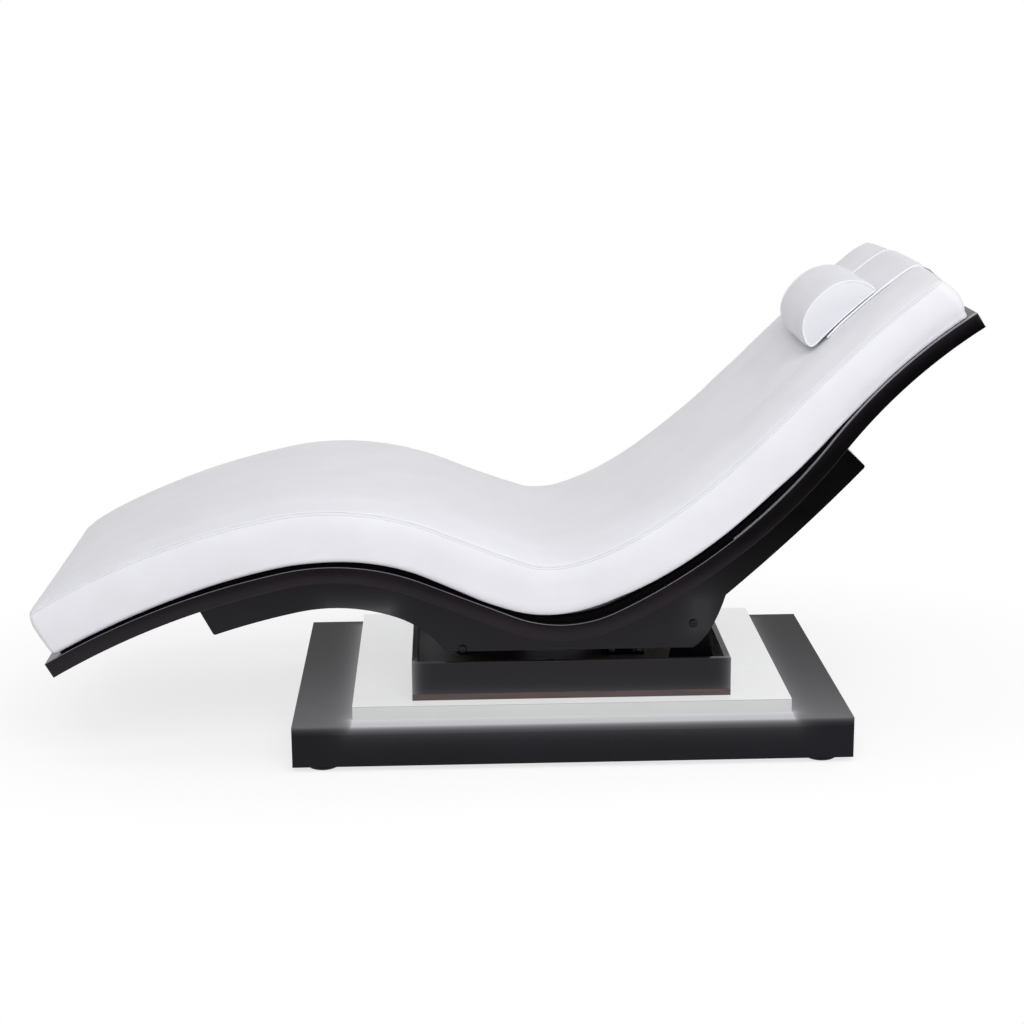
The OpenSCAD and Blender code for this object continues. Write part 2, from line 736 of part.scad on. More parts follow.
// The keel's end edges slant from low, at its underside, to high, at the deck
function slant(low, high, off) = low + (high - low) * (off + keel_d) / (keel_top + keel_d);
function rounded_end(low, high, in) =
    [for (p = bow(wave(low + in, -keel_d), wave(low, -keel_d),
        wave(slant(low, high, keel_corner - keel_d), keel_corner - keel_d), corner_steps))
        if (p != wave(low + in, -keel_d)) p];
keel_outline = concat(back_to_front(rounded_end(keel_low0, keel_s0, keel_corner)), foot_line, heel_run,
    [for (p = head_line) if (p != heel_to) p], rounded_end(keel_low1, keel_s1, -keel_corner),
    along(keel_s1, keel_s0, keel_top));

module keel_panel(side) difference() {
    side_plate(keel_outline, side > 0 ? inner_y : -keel_y, side > 0 ? keel_y : -inner_y);
    cross_pin(pivot, bolt_d / 2 + bolt_gap, -deck_w, deck_w);
    cross_pin(lift, bolt_d / 2 + bolt_gap, -deck_w, deck_w);
    translate([lift[0] - bolt_d / 2 - bolt_gap, -deck_w, lift[1] - lug_r])
        cube([bolt_d + 2 * bolt_gap, 2 * deck_w, lug_r]);
}
module keel_panel_near() settle() color(espresso) keel_panel(-1);
module keel_panel_far() settle() color(espresso) keel_panel(1);

// The end boards end just above the skins
end_low = skin_t + end_gap - keel_d;
module end_board(low, high, thick) side_plate(
    [for (p = [[0, end_low], [thick, end_low], [thick, keel_top], [0, keel_top]])
        wave(slant(low, high, p[1]) + p[0], p[1])], -inner_y, inner_y);
module keel_end_foot() settle() color(espresso) end_board(keel_low0, keel_s0, skin_t);
module keel_end_head() settle() color(espresso) end_board(keel_low1, keel_s1, -skin_t);

module skin(line)
    side_plate(concat(line, back_to_front(shifted(line, skin_t))), -inner_y, inner_y);
module keel_skin_foot() settle() color(espresso) skin(foot_line);
module keel_skin_head() settle() color(espresso) skin(head_line);

module deck_battens() settle() color(raw_wood) for (s = batten_ss)
    side_plate(band(s - batten_w / 2, s + batten_w / 2, keel_top - batten_t, keel_top),
        -tilt_y, tilt_y);

// Side view of a tilt plate: an eye at the lift shaft, a bar, and a hub at the pivot
module tilt_view() {
    translate(lift) circle(r = lug_r);
    translate(pivot) circle(r = hub_r);
    polygon([[lift[0], lift[1] - lug_r], [pivot[0], pivot[1] - hub_r], [pivot[0], pivot[1] + hub_r],
        [plate_bend_x, lift[1] + lug_r], [lift[0], lift[1] + lug_r]]);
}
module tilt_plate(side) difference() {
    translate([0, side > 0 ? inner_y : -tilt_y, 0]) rotate([90, 0, 0])
        linear_extrude(tilt_t) tilt_view();
    cross_pin(pivot, bolt_d / 2 + bolt_gap, -deck_w, deck_w);
    cross_pin(lift, bolt_d / 2 + bolt_gap, -deck_w, deck_w);
}
module tilt_plate_near() settle() color(black) tilt_plate(-1);
module tilt_plate_far() settle() color(black) tilt_plate(1);

// A shaft between the tilt plates, with a tapped hole in each end
module tapped_shaft(p, d) difference() {
    cross_pin(p, d / 2, -tilt_y, tilt_y);
    for (j = [-1, 1]) cross_pin(p, bolt_d / 2, j > 0 ? tilt_y - bolt_grip : -tilt_y - over,
        j > 0 ? tilt_y + over : bolt_grip - tilt_y);
}
module pivot_axle() settle() color(steel) tapped_shaft(pivot, axle_d);
module lift_shaft() settle() color(steel) tapped_shaft(lift, lift_shaft_d);

// A button-head bolt along +Y: the shank ends inside, the domed head sits on the panel at y = 0
module button_bolt() rotate([-90, 0, 0]) {
    translate([0, 0, -panel_t - tilt_t - bolt_grip])
        cylinder(d = bolt_d, h = panel_t + tilt_t + bolt_grip);
    difference() {
        rotate_extrude() polygon(concat([[0, 0], [bolt_head_d / 2, 0]],
            [for (a = [15:15:75]) [bolt_head_d / 2 * cos(a), bolt_head_h * sin(a)]],
            [[0, bolt_head_h]]));
        translate([0, 0, bolt_head_h - socket_h])
            cylinder(d = socket_d, h = socket_h + over, $fn = 6);
    }
}
module keel_bolts() settle() color(black) for (p = [pivot, lift]) {
    translate([p[0], keel_y, p[1]]) button_bolt();
    translate([p[0], -keel_y, p[1]]) mirror([0, 1, 0]) button_bolt();
}

board_s0 = cushion_s0 + board_inset / 2;
board_s1 = cushion_s1 - board_inset / 2;
module cushion_board() settle() color(black)
    side_plate(band(board_s0, board_s1, joint_gap, joint_gap + board_t), board_inset - deck_w / 2,
        deck_w / 2 - board_inset);

// The cushion's rings run from the foot end to the head end; the ends turn in over a round edge
module cushion() settle() color(white_hide) {
    ends = [cushion_s0 + cushion_edge, knee_s, lap_s, seat_s, back_s, head_s, cushion_s1 - cushion_edge];
    body_rings = concat([ring_3d(ends[0], 0)], [for (j = [0:len(ring_counts) - 1])
        for (i = [1:ring_counts[j]]) ring_3d(ends[j] + (ends[j + 1] - ends[j]) * i / ring_counts[j], 0)]);
    foot_rings = [for (a = end_turns)
        ring_3d(cushion_s0 + cushion_edge * (1 - sin(a)), cushion_edge * (1 - cos(a)))];
    head_rings = [for (a = back_to_front(end_turns))
        ring_3d(cushion_s1 - cushion_edge * (1 - sin(a)), cushion_edge * (1 - cos(a)))];
    tip_foot = wave(cushion_s0 - end_bulge, cushion_low + cushion_foot_t / 2);
    tip_head = wave(cushion_s1 + end_bulge, cushion_low + cushion_head_t / 2);
    skinned(concat(foot_rings, body_rings, head_rings),
        [tip_foot[0], 0, tip_foot[1]], [tip_head[0], 0, tip_head[1]]);
}

module head_band() settle() color(white_hide)
    side_plate(band(band_s0, band_s1, band_low, band_low + band_t), -band_w / 2, band_w / 2);

// Actuator

// Places its children on the actuator's line: +X runs from the fixed pin to the lift shaft
module on_line() translate([anchor[0], 0, anchor[1]]) rotate([0, actuator_tilt, 0])
    mirror([1, 0, 0]) children();
module along_line(x0, x1, r) translate([x0, 0, 0]) rotate([0, 90, 0])
    cylinder(r = r, h = x1 - x0);

module actuator_gearbox() settle() color(black) on_line() difference() {
    union() {
        cross_pin([0, 0], eye_r, -eye_w / 2, eye_w / 2);
        translate([0, -eye_w / 2, -eye_r]) cube([gearbox_x0, eye_w, 2 * eye_r]);
        translate([gearbox_x0, -gearbox_side, -gearbox_h / 2])
            cube([gearbox_l, gearbox_side + motor_y + motor_d / 2, gearbox_h]);
    }
    cross_pin([0, 0], pin_d / 2 + run_gap, -eye_w, eye_w);
}

tube_x0 = gearbox_x0 + gearbox_l;
tube_x1 = tube_x0 + tube_l;

module actuator_motor() settle() color(black) on_line() translate([0, motor_y, 0])
    along_line(tube_x0, tube_x0 + motor_l, motor_d / 2);

module actuator_tube() settle() color(steel) on_line() difference() {
    along_line(tube_x0, tube_x1, tube_d / 2);
    along_line(tube_x0 - over, tube_x1 - collar_l, tube_d / 2 - tube_wall);
    along_line(tube_x0, tube_x1 + over, rod_d / 2 + run_gap);
}

rod_x1 = reach - rod_eye_r - rod_neck;
module actuator_rod() settle() color(steel) on_line()
    along_line(tube_x0 + rod_in, rod_x1, rod_d / 2);

module rod_eye() settle() color(black) on_line() difference() {
    union() {
        cross_pin([reach, 0], rod_eye_r, -rod_eye_w / 2, rod_eye_w / 2);
        along_line(rod_x1, reach - rod_eye_r / 2, rod_neck_d / 2);
    }
    cross_pin([reach, 0], lift_shaft_d / 2 + eye_slack, -rod_eye_w, rod_eye_w);
}

// Neck bolster: a half-round section over the band that leans to the foot end, flat side down
dome = [for (i = [0:dome_steps]) let (a = 180 * i / dome_steps, up = pow(sin(a), 2 / bolster_power))
    [-sign(cos(a)) * pow(abs(cos(a)), 2 / bolster_power) * bolster_w / 2 - bolster_lean * sin(180 * up),
        up * bolster_h]];
flat_side = [for (i = [1:flat_steps - 1]) [bolster_w * (1 / 2 - i / flat_steps), 0]];
function bolster_ring(y, grow) = [for (p = concat(dome, flat_side))
    let (w = wave(bolster_s + p[0] * grow, bolster_low + p[1] * grow + bolster_h / 2 * (1 - grow)))
    [w[0], y, w[1]]];
module neck_bolster() settle() color(white_hide) {
    half = bolster_l / 2;
    mid = wave(bolster_s, bolster_low + bolster_h / 2);
    skinned([for (i = [-bolster_rings:bolster_rings])
            let (u = i / bolster_rings, in = bolster_edge * pow(abs(u), end_power))
            bolster_ring(half * u, 1 - in / (bolster_w / 2))],
        [mid[0], -half, mid[1]], [mid[0], half, mid[1]]);
}

glide_pads();
glide_studs();
corner_blocks();
plinth_top();
plinth_front();
plinth_back();
plinth_foot_side();
plinth_head_side();
plinth_bottom();
bottom_screws();
chassis_rails();
chassis_crossbars();
led_driver();
power_inlet();
led_tray();
led_strips();
glow_slab();
slab_spacers();
clamp_bolts();
trough_floor();
trough_front();
trough_back();
trough_foot_side();
trough_head_side();
pivot_bracket_near();
pivot_bracket_far();
bracket_bolts();
pivot_bushes();
actuator_bracket();
actuator_pin();
control_box();
deck();
keel_panel_near();
keel_panel_far();
keel_end_foot();
keel_end_head();
keel_skin_foot();
keel_skin_head();
deck_battens();
tilt_plate_near();
tilt_plate_far();
pivot_axle();
lift_shaft();
keel_bolts();
cushion_board();
cushion();
head_band();
actuator_gearbox();
actuator_motor();
actuator_tube();
actuator_rod();
rod_eye();
neck_bolster();
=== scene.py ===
import json
import math

import bmesh
import bpy
import numpy as np
from mathutils import Matrix, Vector
from mathutils.kdtree import KDTree


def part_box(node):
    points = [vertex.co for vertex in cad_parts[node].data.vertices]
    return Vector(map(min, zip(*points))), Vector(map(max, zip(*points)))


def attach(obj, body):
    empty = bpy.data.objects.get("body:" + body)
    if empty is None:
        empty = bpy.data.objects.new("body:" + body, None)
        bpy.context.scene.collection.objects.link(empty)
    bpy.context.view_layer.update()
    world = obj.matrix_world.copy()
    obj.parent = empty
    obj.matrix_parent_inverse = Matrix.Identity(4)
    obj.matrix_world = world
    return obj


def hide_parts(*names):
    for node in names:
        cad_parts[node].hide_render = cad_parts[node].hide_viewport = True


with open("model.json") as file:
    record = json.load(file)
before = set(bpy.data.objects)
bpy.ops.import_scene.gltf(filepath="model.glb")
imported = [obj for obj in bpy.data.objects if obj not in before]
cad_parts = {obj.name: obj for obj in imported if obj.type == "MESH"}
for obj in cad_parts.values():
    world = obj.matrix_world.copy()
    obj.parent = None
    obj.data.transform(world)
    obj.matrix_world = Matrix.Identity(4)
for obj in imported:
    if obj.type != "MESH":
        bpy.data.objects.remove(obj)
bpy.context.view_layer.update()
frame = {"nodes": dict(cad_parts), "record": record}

MM = 0.001
scene = bpy.context.scene


# ---------------------------------------------------------------- wave line
# The line of the deck's top, from the foot end to the head end, in millimetres: six arcs and straight runs.

X_ZERO = 141.55          # row X of the line's own zero
LENGTHS = [527, 290, 200, 218, 565, 385]
BENDS = np.array([-1 / 1665, -1 / 495, 0, 1 / 265, 1 / 1190, -1 / 1105])
SEAT_AT = (-123.0, 327.0, math.radians(-22))    # where the fourth run starts: x, z and heading


def step_on(start, length, bend):
    """The place and heading after a run of the line, which may be negative."""
    x, z, a = start
    if bend == 0:
        return x + length * math.cos(a), z + length * math.sin(a), a
    b = a + bend * length
    return x + (math.sin(b) - math.sin(a)) / bend, z + (math.cos(a) - math.cos(b)) / bend, b


lap = step_on(SEAT_AT, -LENGTHS[2], 0)
knee = step_on(lap, -LENGTHS[1], BENDS[1])
leg = step_on(knee, -LENGTHS[0], BENDS[0])
back = step_on(SEAT_AT, LENGTHS[3], BENDS[3])
head = step_on(back, LENGTHS[4], BENDS[4])
STARTS = np.array([leg, knee, lap, SEAT_AT, back, head])
START_S = np.concatenate([[0], np.cumsum(LENGTHS)[:-1]]).astype(float)
WAVE_L = float(sum(LENGTHS))


def wave(s, n):
    """From millimetres along the line and above it to X and Z in millimetres, and the heading."""
    s, n = np.broadcast_arrays(np.asarray(s, float), np.asarray(n, float))
    i = np.clip(np.searchsorted(START_S, s, side="right") - 1, 0, len(LENGTHS) - 1)
    st, k = STARTS[i], BENDS[i]
    d = s - START_S[i]
    a = st[..., 2]
    b = a + k * d
    safe = np.where(k == 0, 1, k)
    x = np.where(k == 0, st[..., 0] + d * np.cos(a), st[..., 0] + (np.sin(b) - np.sin(a)) / safe)
    z = np.where(k == 0, st[..., 1] + d * np.sin(a), st[..., 1] + (np.cos(a) - np.cos(b)) / safe)
    return x - n * np.sin(b) + X_ZERO, z + n * np.cos(b), b


def placed(s, y, n):
    """From length, width and height by the line, in millimetres, to row coordinates in metres."""
    x, z, _ = wave(s, n)
    return np.stack([x, np.broadcast_to(y, x.shape), z], -1) * MM


def ease(u):
    """From 0 to 1 as u does, smoothly at both ends."""
    v = np.clip(u, 0, 1)
    return v * v * (3 - 2 * v)


def past(u, span):
    """The same for u past a span, which is its start and its length."""
    return ease((u - span[0]) / span[1])


# ---------------------------------------------------------------- meshes

def new_piece(name, verts, faces, body):
    """A smooth piece with its normals outward, on its body."""
    mesh = bpy.data.meshes.new(name)
    mesh.from_pydata([tuple(v) for v in verts], [], [tuple(f) for f in faces])
    mesh.validate()
    bm = bmesh.new()
    bm.from_mesh(mesh)
    bmesh.ops.recalc_face_normals(bm, faces=bm.faces)
    bm.to_mesh(mesh)
    bm.free()
    mesh.polygons.foreach_set("use_smooth", [True] * len(mesh.polygons))
    mesh.update()
    obj = bpy.data.objects.new(name, mesh)
    scene.collection.objects.link(obj)
    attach(obj, body)
    return obj


def skin(rings, around, closed=False):
    """Quads between each ring of around points and the next one."""
    faces = []
    for k in range(rings if closed else rings - 1):
        a, b = k * around, (k + 1) % rings * around
        for i in range(around):
            j = (i + 1) % around
            faces.append((a + i, a + j, b + j, b + i))
    return faces


def round_line(line):
    """A closed line with its first point again at the end, its steps, and the length up to each point."""
    closed = np.vstack([line, line[:1]])
    step = np.linalg.norm(np.diff(closed, axis=0), axis=1)
    return closed, step, np.concatenate([[0], np.cumsum(step)])


def tube(points, radius, sides, closed=False):
    """Vertices and faces of a round tube along points. An open one ends in low cones."""
    p = np.asarray(points, float)
    count = len(p)
    if closed:
        t = np.roll(p, -1, 0) - np.roll(p, 1, 0)
    else:
        t = np.gradient(p, axis=0)
    t /= np.linalg.norm(t, axis=1)[:, None]
    up = np.array([0, 0, 1.0]) if abs(t[0][2]) < 0.9 else np.array([0, 1.0, 0])
    u = np.cross(t[0], up)
    u /= np.linalg.norm(u)
    us = [u]
    for i in range(1, count):
        u = us[-1] - t[i] * np.dot(us[-1], t[i])
        us.append(u / np.linalg.norm(u))
    us = np.array(us)
    vs = np.cross(t, us)
    r = np.full(count, radius, float) if np.isscalar(radius) else np.asarray(radius, float)
    a = np.linspace(0, 2 * np.pi, sides, endpoint=False)
    ring = p[:, None] + r[:, None, None] * (
        us[:, None] * np.cos(a)[None, :, None] + vs[:, None] * np.sin(a)[None, :, None])
    verts = ring.reshape(-1, 3)
    faces = skin(count, sides, closed)
    if not closed:
        tip, last = len(verts), (count - 1) * sides
        verts = np.vstack([verts, p[0] - t[0] * r[0] * 0.6, p[-1] + t[-1] * r[-1] * 0.6])
        for k in range(sides):
            m = (k + 1) % sides
            faces += [(m, k, tip), (last + k, last + m, tip + 1)]
    return verts, faces


def joined(parts):
    """Several meshes as one."""
    verts, faces, n = [], [], 0
    for v, f in parts:
        verts.append(np.asarray(v))
        faces += [tuple(i + n for i in q) for q in f]
        n += len(v)
    return np.vstack(verts), faces


def bumps(s, y, scale, seed, count=5):
    """Smooth seeded waves between about -1 and 1, over lengths of about scale."""
    g = np.random.default_rng(seed)
    out = 0
    for _ in range(count):
        a = g.uniform(0, 2 * np.pi)
        f = 2 * np.pi / (scale * g.uniform(0.7, 1.6))
        out = out + np.sin((s * np.cos(a) + y * np.sin(a)) * f + g.uniform(0, 2 * np.pi))
    return out / count ** 0.5


# ---------------------------------------------------------------- long cushion
# Built flat, as length, width and height in millimetres, then bent along the wave line.

LOW = 10.6                        # its underside lies on the black board
S_FOOT, S_HEAD = 19.0, 2174.0     # the fullest points of its two ends
HALF_W = 374.0
SEAM_FOOT, SEAM_SIDE, SEAM_HEAD = 8.0, 8.0, 17.0    # how far the seam lies inside the fullest line
EDGE_FOOT, EDGE_HEAD = 3.0, 6.5                     # the same for the lower edge at the ends
SEAM_DROP = 1.2                   # how far the seam is drawn below the panel
SEAM_DIP = 6.0                    # how far beside the seam the panels turn in
SIDE_H = 88.0                     # the side panel's usual height
STITCH_DOWN = 5.0                 # from the seam down to the topstitch
TOP_IN = 42.0                     # from the seam to the even grid inside the top panel
LOW_GRID = (52, 62, 46)           # from the fullest line to the even grid underneath: foot, side and head
HEAD_BOW, BOW_S, BOW_N = 11.0, (2040, 125), (0, 60)     # swell of the head end in plan, where it comes in
WAIST = 2.0                       # how far the long sides are drawn in at half length
# the back is fuller beside the band than under it: by how much, and where that comes in
BESIDE, BESIDE_S, BESIDE_Y = 7.5, (1650, 150), (178, 65)
# and dented where the bolster slides down: how deep, where it starts and ends, and where it ends sideways
DENT, DENT_FROM, DENT_TO, DENT_Y = 2.8, (1835, 40), (1930, 50), (150, 30)
AIR_PRESSURE, AIR_MOST = 2.2, 4.0    # of the air in the cushion, and how far it may push the leather


def curve(rows):
    """Smooth reading of a table of rows (place, value)."""
    at, val = np.array(rows, float).T
    slope = np.gradient(val, at)

    def read(s):
        s = np.clip(s, at[0], at[-1])
        i = np.clip(np.searchsorted(at, s, side="right") - 1, 0, len(at) - 2)
        h = at[i + 1] - at[i]
        t = (s - at[i]) / h
        return ((2 * t ** 3 - 3 * t ** 2 + 1) * val[i] + (t ** 3 - 2 * t ** 2 + t) * h * slope[i]
                + (3 * t ** 2 - 2 * t ** 3) * val[i + 1] + (t ** 3 - t ** 2) * h * slope[i + 1])
    return read


# by length: heights of the seam, of the crown over it and of the lower edge, that edge's rounding, and how
# far it lies inside the side's fullest line
seam_n = curve([(19, 106.6), (100, 110.8), (300, 115.4), (500, 116.2), (700, 112.6), (850, 110),
                (1000, 112.4), (1100, 121.5), (1200, 125.5), (1300, 120.4), (1400, 118.4), (1500, 117.6),
                (1600, 116.6), (1700, 113.2), (1800, 104.5), (1900, 95), (2000, 92.4), (2100, 93.2),
                (2174, 97.5)])
crown_n = curve([(19, 6.5), (350, 7), (600, 8), (700, 10), (800, 14), (900, 16.5), (1000, 17.5), (1100, 18),
                 (1300, 17), (1600, 17), (1700, 13), (1780, 7), (1845, 3.8), (2060, 3.8), (2174, 5)])
low_n = curve([(19, 4.8), (100, 5.2), (200, 5.4), (300, 6.6), (400, 8.6), (500, 9.2), (600, 8), (700, 10),
               (800, 11), (850, 9.6), (900, 7.6), (950, 5.5), (1000, 8), (1050, 13.5), (1100, 19),
               (1150, 23.5), (1200, 26), (1250, 24.5), (1300, 21), (1350, 19), (1400, 18), (1500, 17.6),
               (1600, 18), (1650, 17), (1700, 13.5), (1750, 10.5), (1800, 6.8), (1850, 3.5), (1900, 1.6),
               (2000, 1.2), (2174, 1.2)])
round_up = curve([(19, 15), (300, 14), (600, 12), (900, 16), (1200, 20), (1330, 19), (1420, 16), (1500, 9),
                  (1700, 10), (1850, 11), (2174, 11)])
edge_side = curve([(19, 2.5), (1650, 2.5), (1850, 7), (2174, 8)])


def drawn(s):
    return WAIST * np.sin(np.pi * np.clip((s - S_FOOT) / (S_HEAD - S_FOOT), 0, 1))


def bowed(s, y, n):
    """The head end swells outward in plan, least at its lower edge."""
    swell = HEAD_BOW * (1 - np.clip(np.abs(y) / HALF_W, 0, 1) ** 2)
    return s + swell * past(s, BOW_S) * (0.35 + 0.65 * past(n, BOW_N))


def rise(e, w):
    """From 0 at a seam to 1 at w inside it."""
    return 1 - (1 - np.clip(e / w, 0, 1)) ** 2.2


def top_n(s, y):
    """Height of the top panel, without the dip at its seam."""
    e_s = np.minimum(s - (S_FOOT + SEAM_FOOT), (S_HEAD - SEAM_HEAD) - s)
    e_y = (HALF_W - SEAM_SIDE - drawn(s)) - np.abs(y)
    across = 1 - np.clip(np.abs(y) / HALF_W, 0, 1) ** 2.4
    crown = crown_n(s) + BESIDE * past(s, BESIDE_S) * past(np.abs(y), BESIDE_Y)
    dent = past(s, DENT_FROM) * (1 - past(s, DENT_TO)) * (1 - past(np.abs(y), DENT_Y))
    return (seam_n(s) + crown * rise(e_s, 50) * rise(e_y, 34 + 1.5 * crown) + 3.0 * across * rise(e_s, 120)
            + 0.5 * bumps(s, y, 260, 3) * rise(e_s, 90) * rise(e_y, 90) - DENT * dent)


def ring(foot, side, head, r_foot, r_head, counts):
    """One ring in plan, with rounded corners: s, y and its outward normals. foot, side and head say how far
    it lies inside the fullest line."""
    n_long, n_short, n_arc = counts

    def half_width(s):
        return HALF_W - side(s) - drawn(s)
    c0, c1 = S_FOOT + foot + r_foot, S_HEAD - head - r_head      # middles of the corners, by length
    h0, h1 = half_width(c0) - r_foot, half_width(c1) - r_head    # and by width
    long_s = c0 + (c1 - c0) * np.linspace(0, 1, n_long + 1)
    w = half_width(long_s)
    short = np.linspace(-1, 1, n_short + 1)
    along, across = np.ones(len(w)), np.ones(len(short))

    def arc(c, h, r, start):
        a = np.radians(start + 90 * np.arange(1, n_arc) / n_arc)
        return c + r * np.cos(a), h + r * np.sin(a), np.cos(a), np.sin(a)
    runs = [(long_s, -w, 0 * along, -along), arc(c1, -h1, r_head, -90),
            ((c1 + r_head) * across, h1 * short, across, 0 * across), arc(c1, h1, r_head, 0),
            (long_s[::-1], w[::-1], 0 * along, along), arc(c0, h0, r_foot, 90),
            ((c0 - r_foot) * across, -h0 * short, -across, 0 * across), arc(c0, -h0, r_foot, 180)]
    return [np.concatenate([run[k] for run in runs]) for k in range(4)]


def grid_corners(counts):
    """For every point of a ring, the point of the inner grid that it belongs to."""
    n_long, n_short, n_arc = counts
    return ([(i, 0) for i in range(n_long + 1)] + [(n_long, 0)] * (n_arc - 1)
            + [(n_long, j) for j in range(n_short + 1)] + [(n_long, n_short)] * (n_arc - 1)
            + [(i, n_short) for i in range(n_long, -1, -1)] + [(0, n_short)] * (n_arc - 1)
            + [(0, j) for j in range(n_short, -1, -1)] + [(0, 0)] * (n_arc - 1))


def belly(v, full, low, high, power):
    """How far a side lies inside its fullest line, v from its lower edge to its seam."""
    return low * (max(full - v, 0) / full) ** 2 + high * (max(v - full, 0) / (1 - full)) ** power


def head_belly(v):
    return belly(v, 0.35, EDGE_HEAD, SEAM_HEAD, 1.9)


def side_n(s, v):
    """Height on the side panel, v from its lower edge to its seam."""
    low = low_n(s) + round_up(s)
    return low + (seam_n(s) - SEAM_DROP - low) * v


def side_ring(v, counts, down=None, detail=True):
    """Ring of the side panel at share v of its height, or down millimetres below the seam."""
    def at(v):
        r_foot = 8 + 4 * math.sin(math.pi * v) + v
        r_head = 12 + 7 * math.sin(math.pi * v) + 4 * v
        return ring(belly(v, 0.62, EDGE_FOOT, SEAM_FOOT, 2.0),
                    lambda s: edge_side(s) * (max(0.5 - v, 0) / 0.5) ** 2 + belly(v, 0.5, 0, SEAM_SIDE, 2.5),
                    head_belly(v), r_foot, r_head, counts)
    if down is not None:
        v = 1 - down / SIDE_H
    s, y, a, b = at(v)
    n = side_n(s, v)
    if down is None:
        down = (1 - v) * SIDE_H
    dip = 2.0 * max(1 - down / SEAM_DIP, 0) ** 2
    if detail:
        dip = dip + 1.1 * math.exp(-(down / 0.9) ** 2) + 0.55 * math.exp(-((down - STITCH_DOWN) / 0.8) ** 2)
        dip = dip + 0.30 * bumps(s, y, 34, 11) * math.exp(-down / 11)
        dip = dip + 0.6 * bumps(s, y, 240, 5) * min(down / 30, 1) * min(v * 4, 1)
    return s - a * dip, y - b * dip, n, (a, b)


def top_ring(inward, counts, detail=True):
    """Ring of the top panel, inward millimetres from the seam."""
    k = max(1 - inward / TOP_IN, 0)
    s, y, a, b = ring(SEAM_FOOT + inward, lambda s: SEAM_SIDE + inward + 0 * s, SEAM_HEAD + inward,
                      9 * k + 0.3, 16 * k + 0.3, counts)
    turned = max(1 - inward / SEAM_DIP, 0) ** 2
    dip = 2.0 * turned
    s, y = s - a * dip * 0.3, y - b * dip * 0.3
    n = top_n(s, y) - SEAM_DROP * turned
    if detail:
        n = n - 0.9 * math.exp(-(inward / 0.9) ** 2) + 0.28 * bumps(s, y, 34, 11) * math.exp(-inward / 11)
    return s, y, n


def lifted(s):
    """0 where the lower edge hangs down to the board's face, 1 where it is drawn up well above it."""
    return np.clip((low_n(s) - 11) / 8, 0, 1)


# the underside on the board, past its edge, and at the hanging lower edge: how far inside the fullest line
UNDER = {"board": (18.4, lambda s: 14.4 + 26 * lifted(s), 11.2),
         "edge": (16.8, lambda s: 13.1 + 19 * lifted(s), 9.6),
         "flap": (15.0, lambda s: 12.0 + 8 * lifted(s), 9.1)}


def under_ring(kind, counts):
    """Ring of the underside, kind being one of UNDER."""
    s, y, _, _ = ring(*UNDER[kind], 2.5, 2.5, counts)
    k, low = lifted(s), low_n(s)
    heights = {"board": LOW + 0 * s, "edge": low + 1.2 * (1 - k) + 0.25 * k * (LOW - low), "flap": low + 0.1}
    return s, y, heights[kind]


def round_ring(a, counts):
    """Ring of the rounded lower edge, a from 0 degrees below to 90 at the side."""
    u, v = 1 - math.sin(math.radians(a)), 1 - math.cos(math.radians(a))
    s, y, _, _ = ring(EDGE_FOOT + 8.5 * u, lambda s: edge_side(s) + np.minimum(8.5, 11.5 - edge_side(s)) * u,
                      EDGE_HEAD + 2.3 * u, 8 - 3 * u, 12 - 6 * u, counts)
    return s, y, low_n(s) + round_up(s) * v


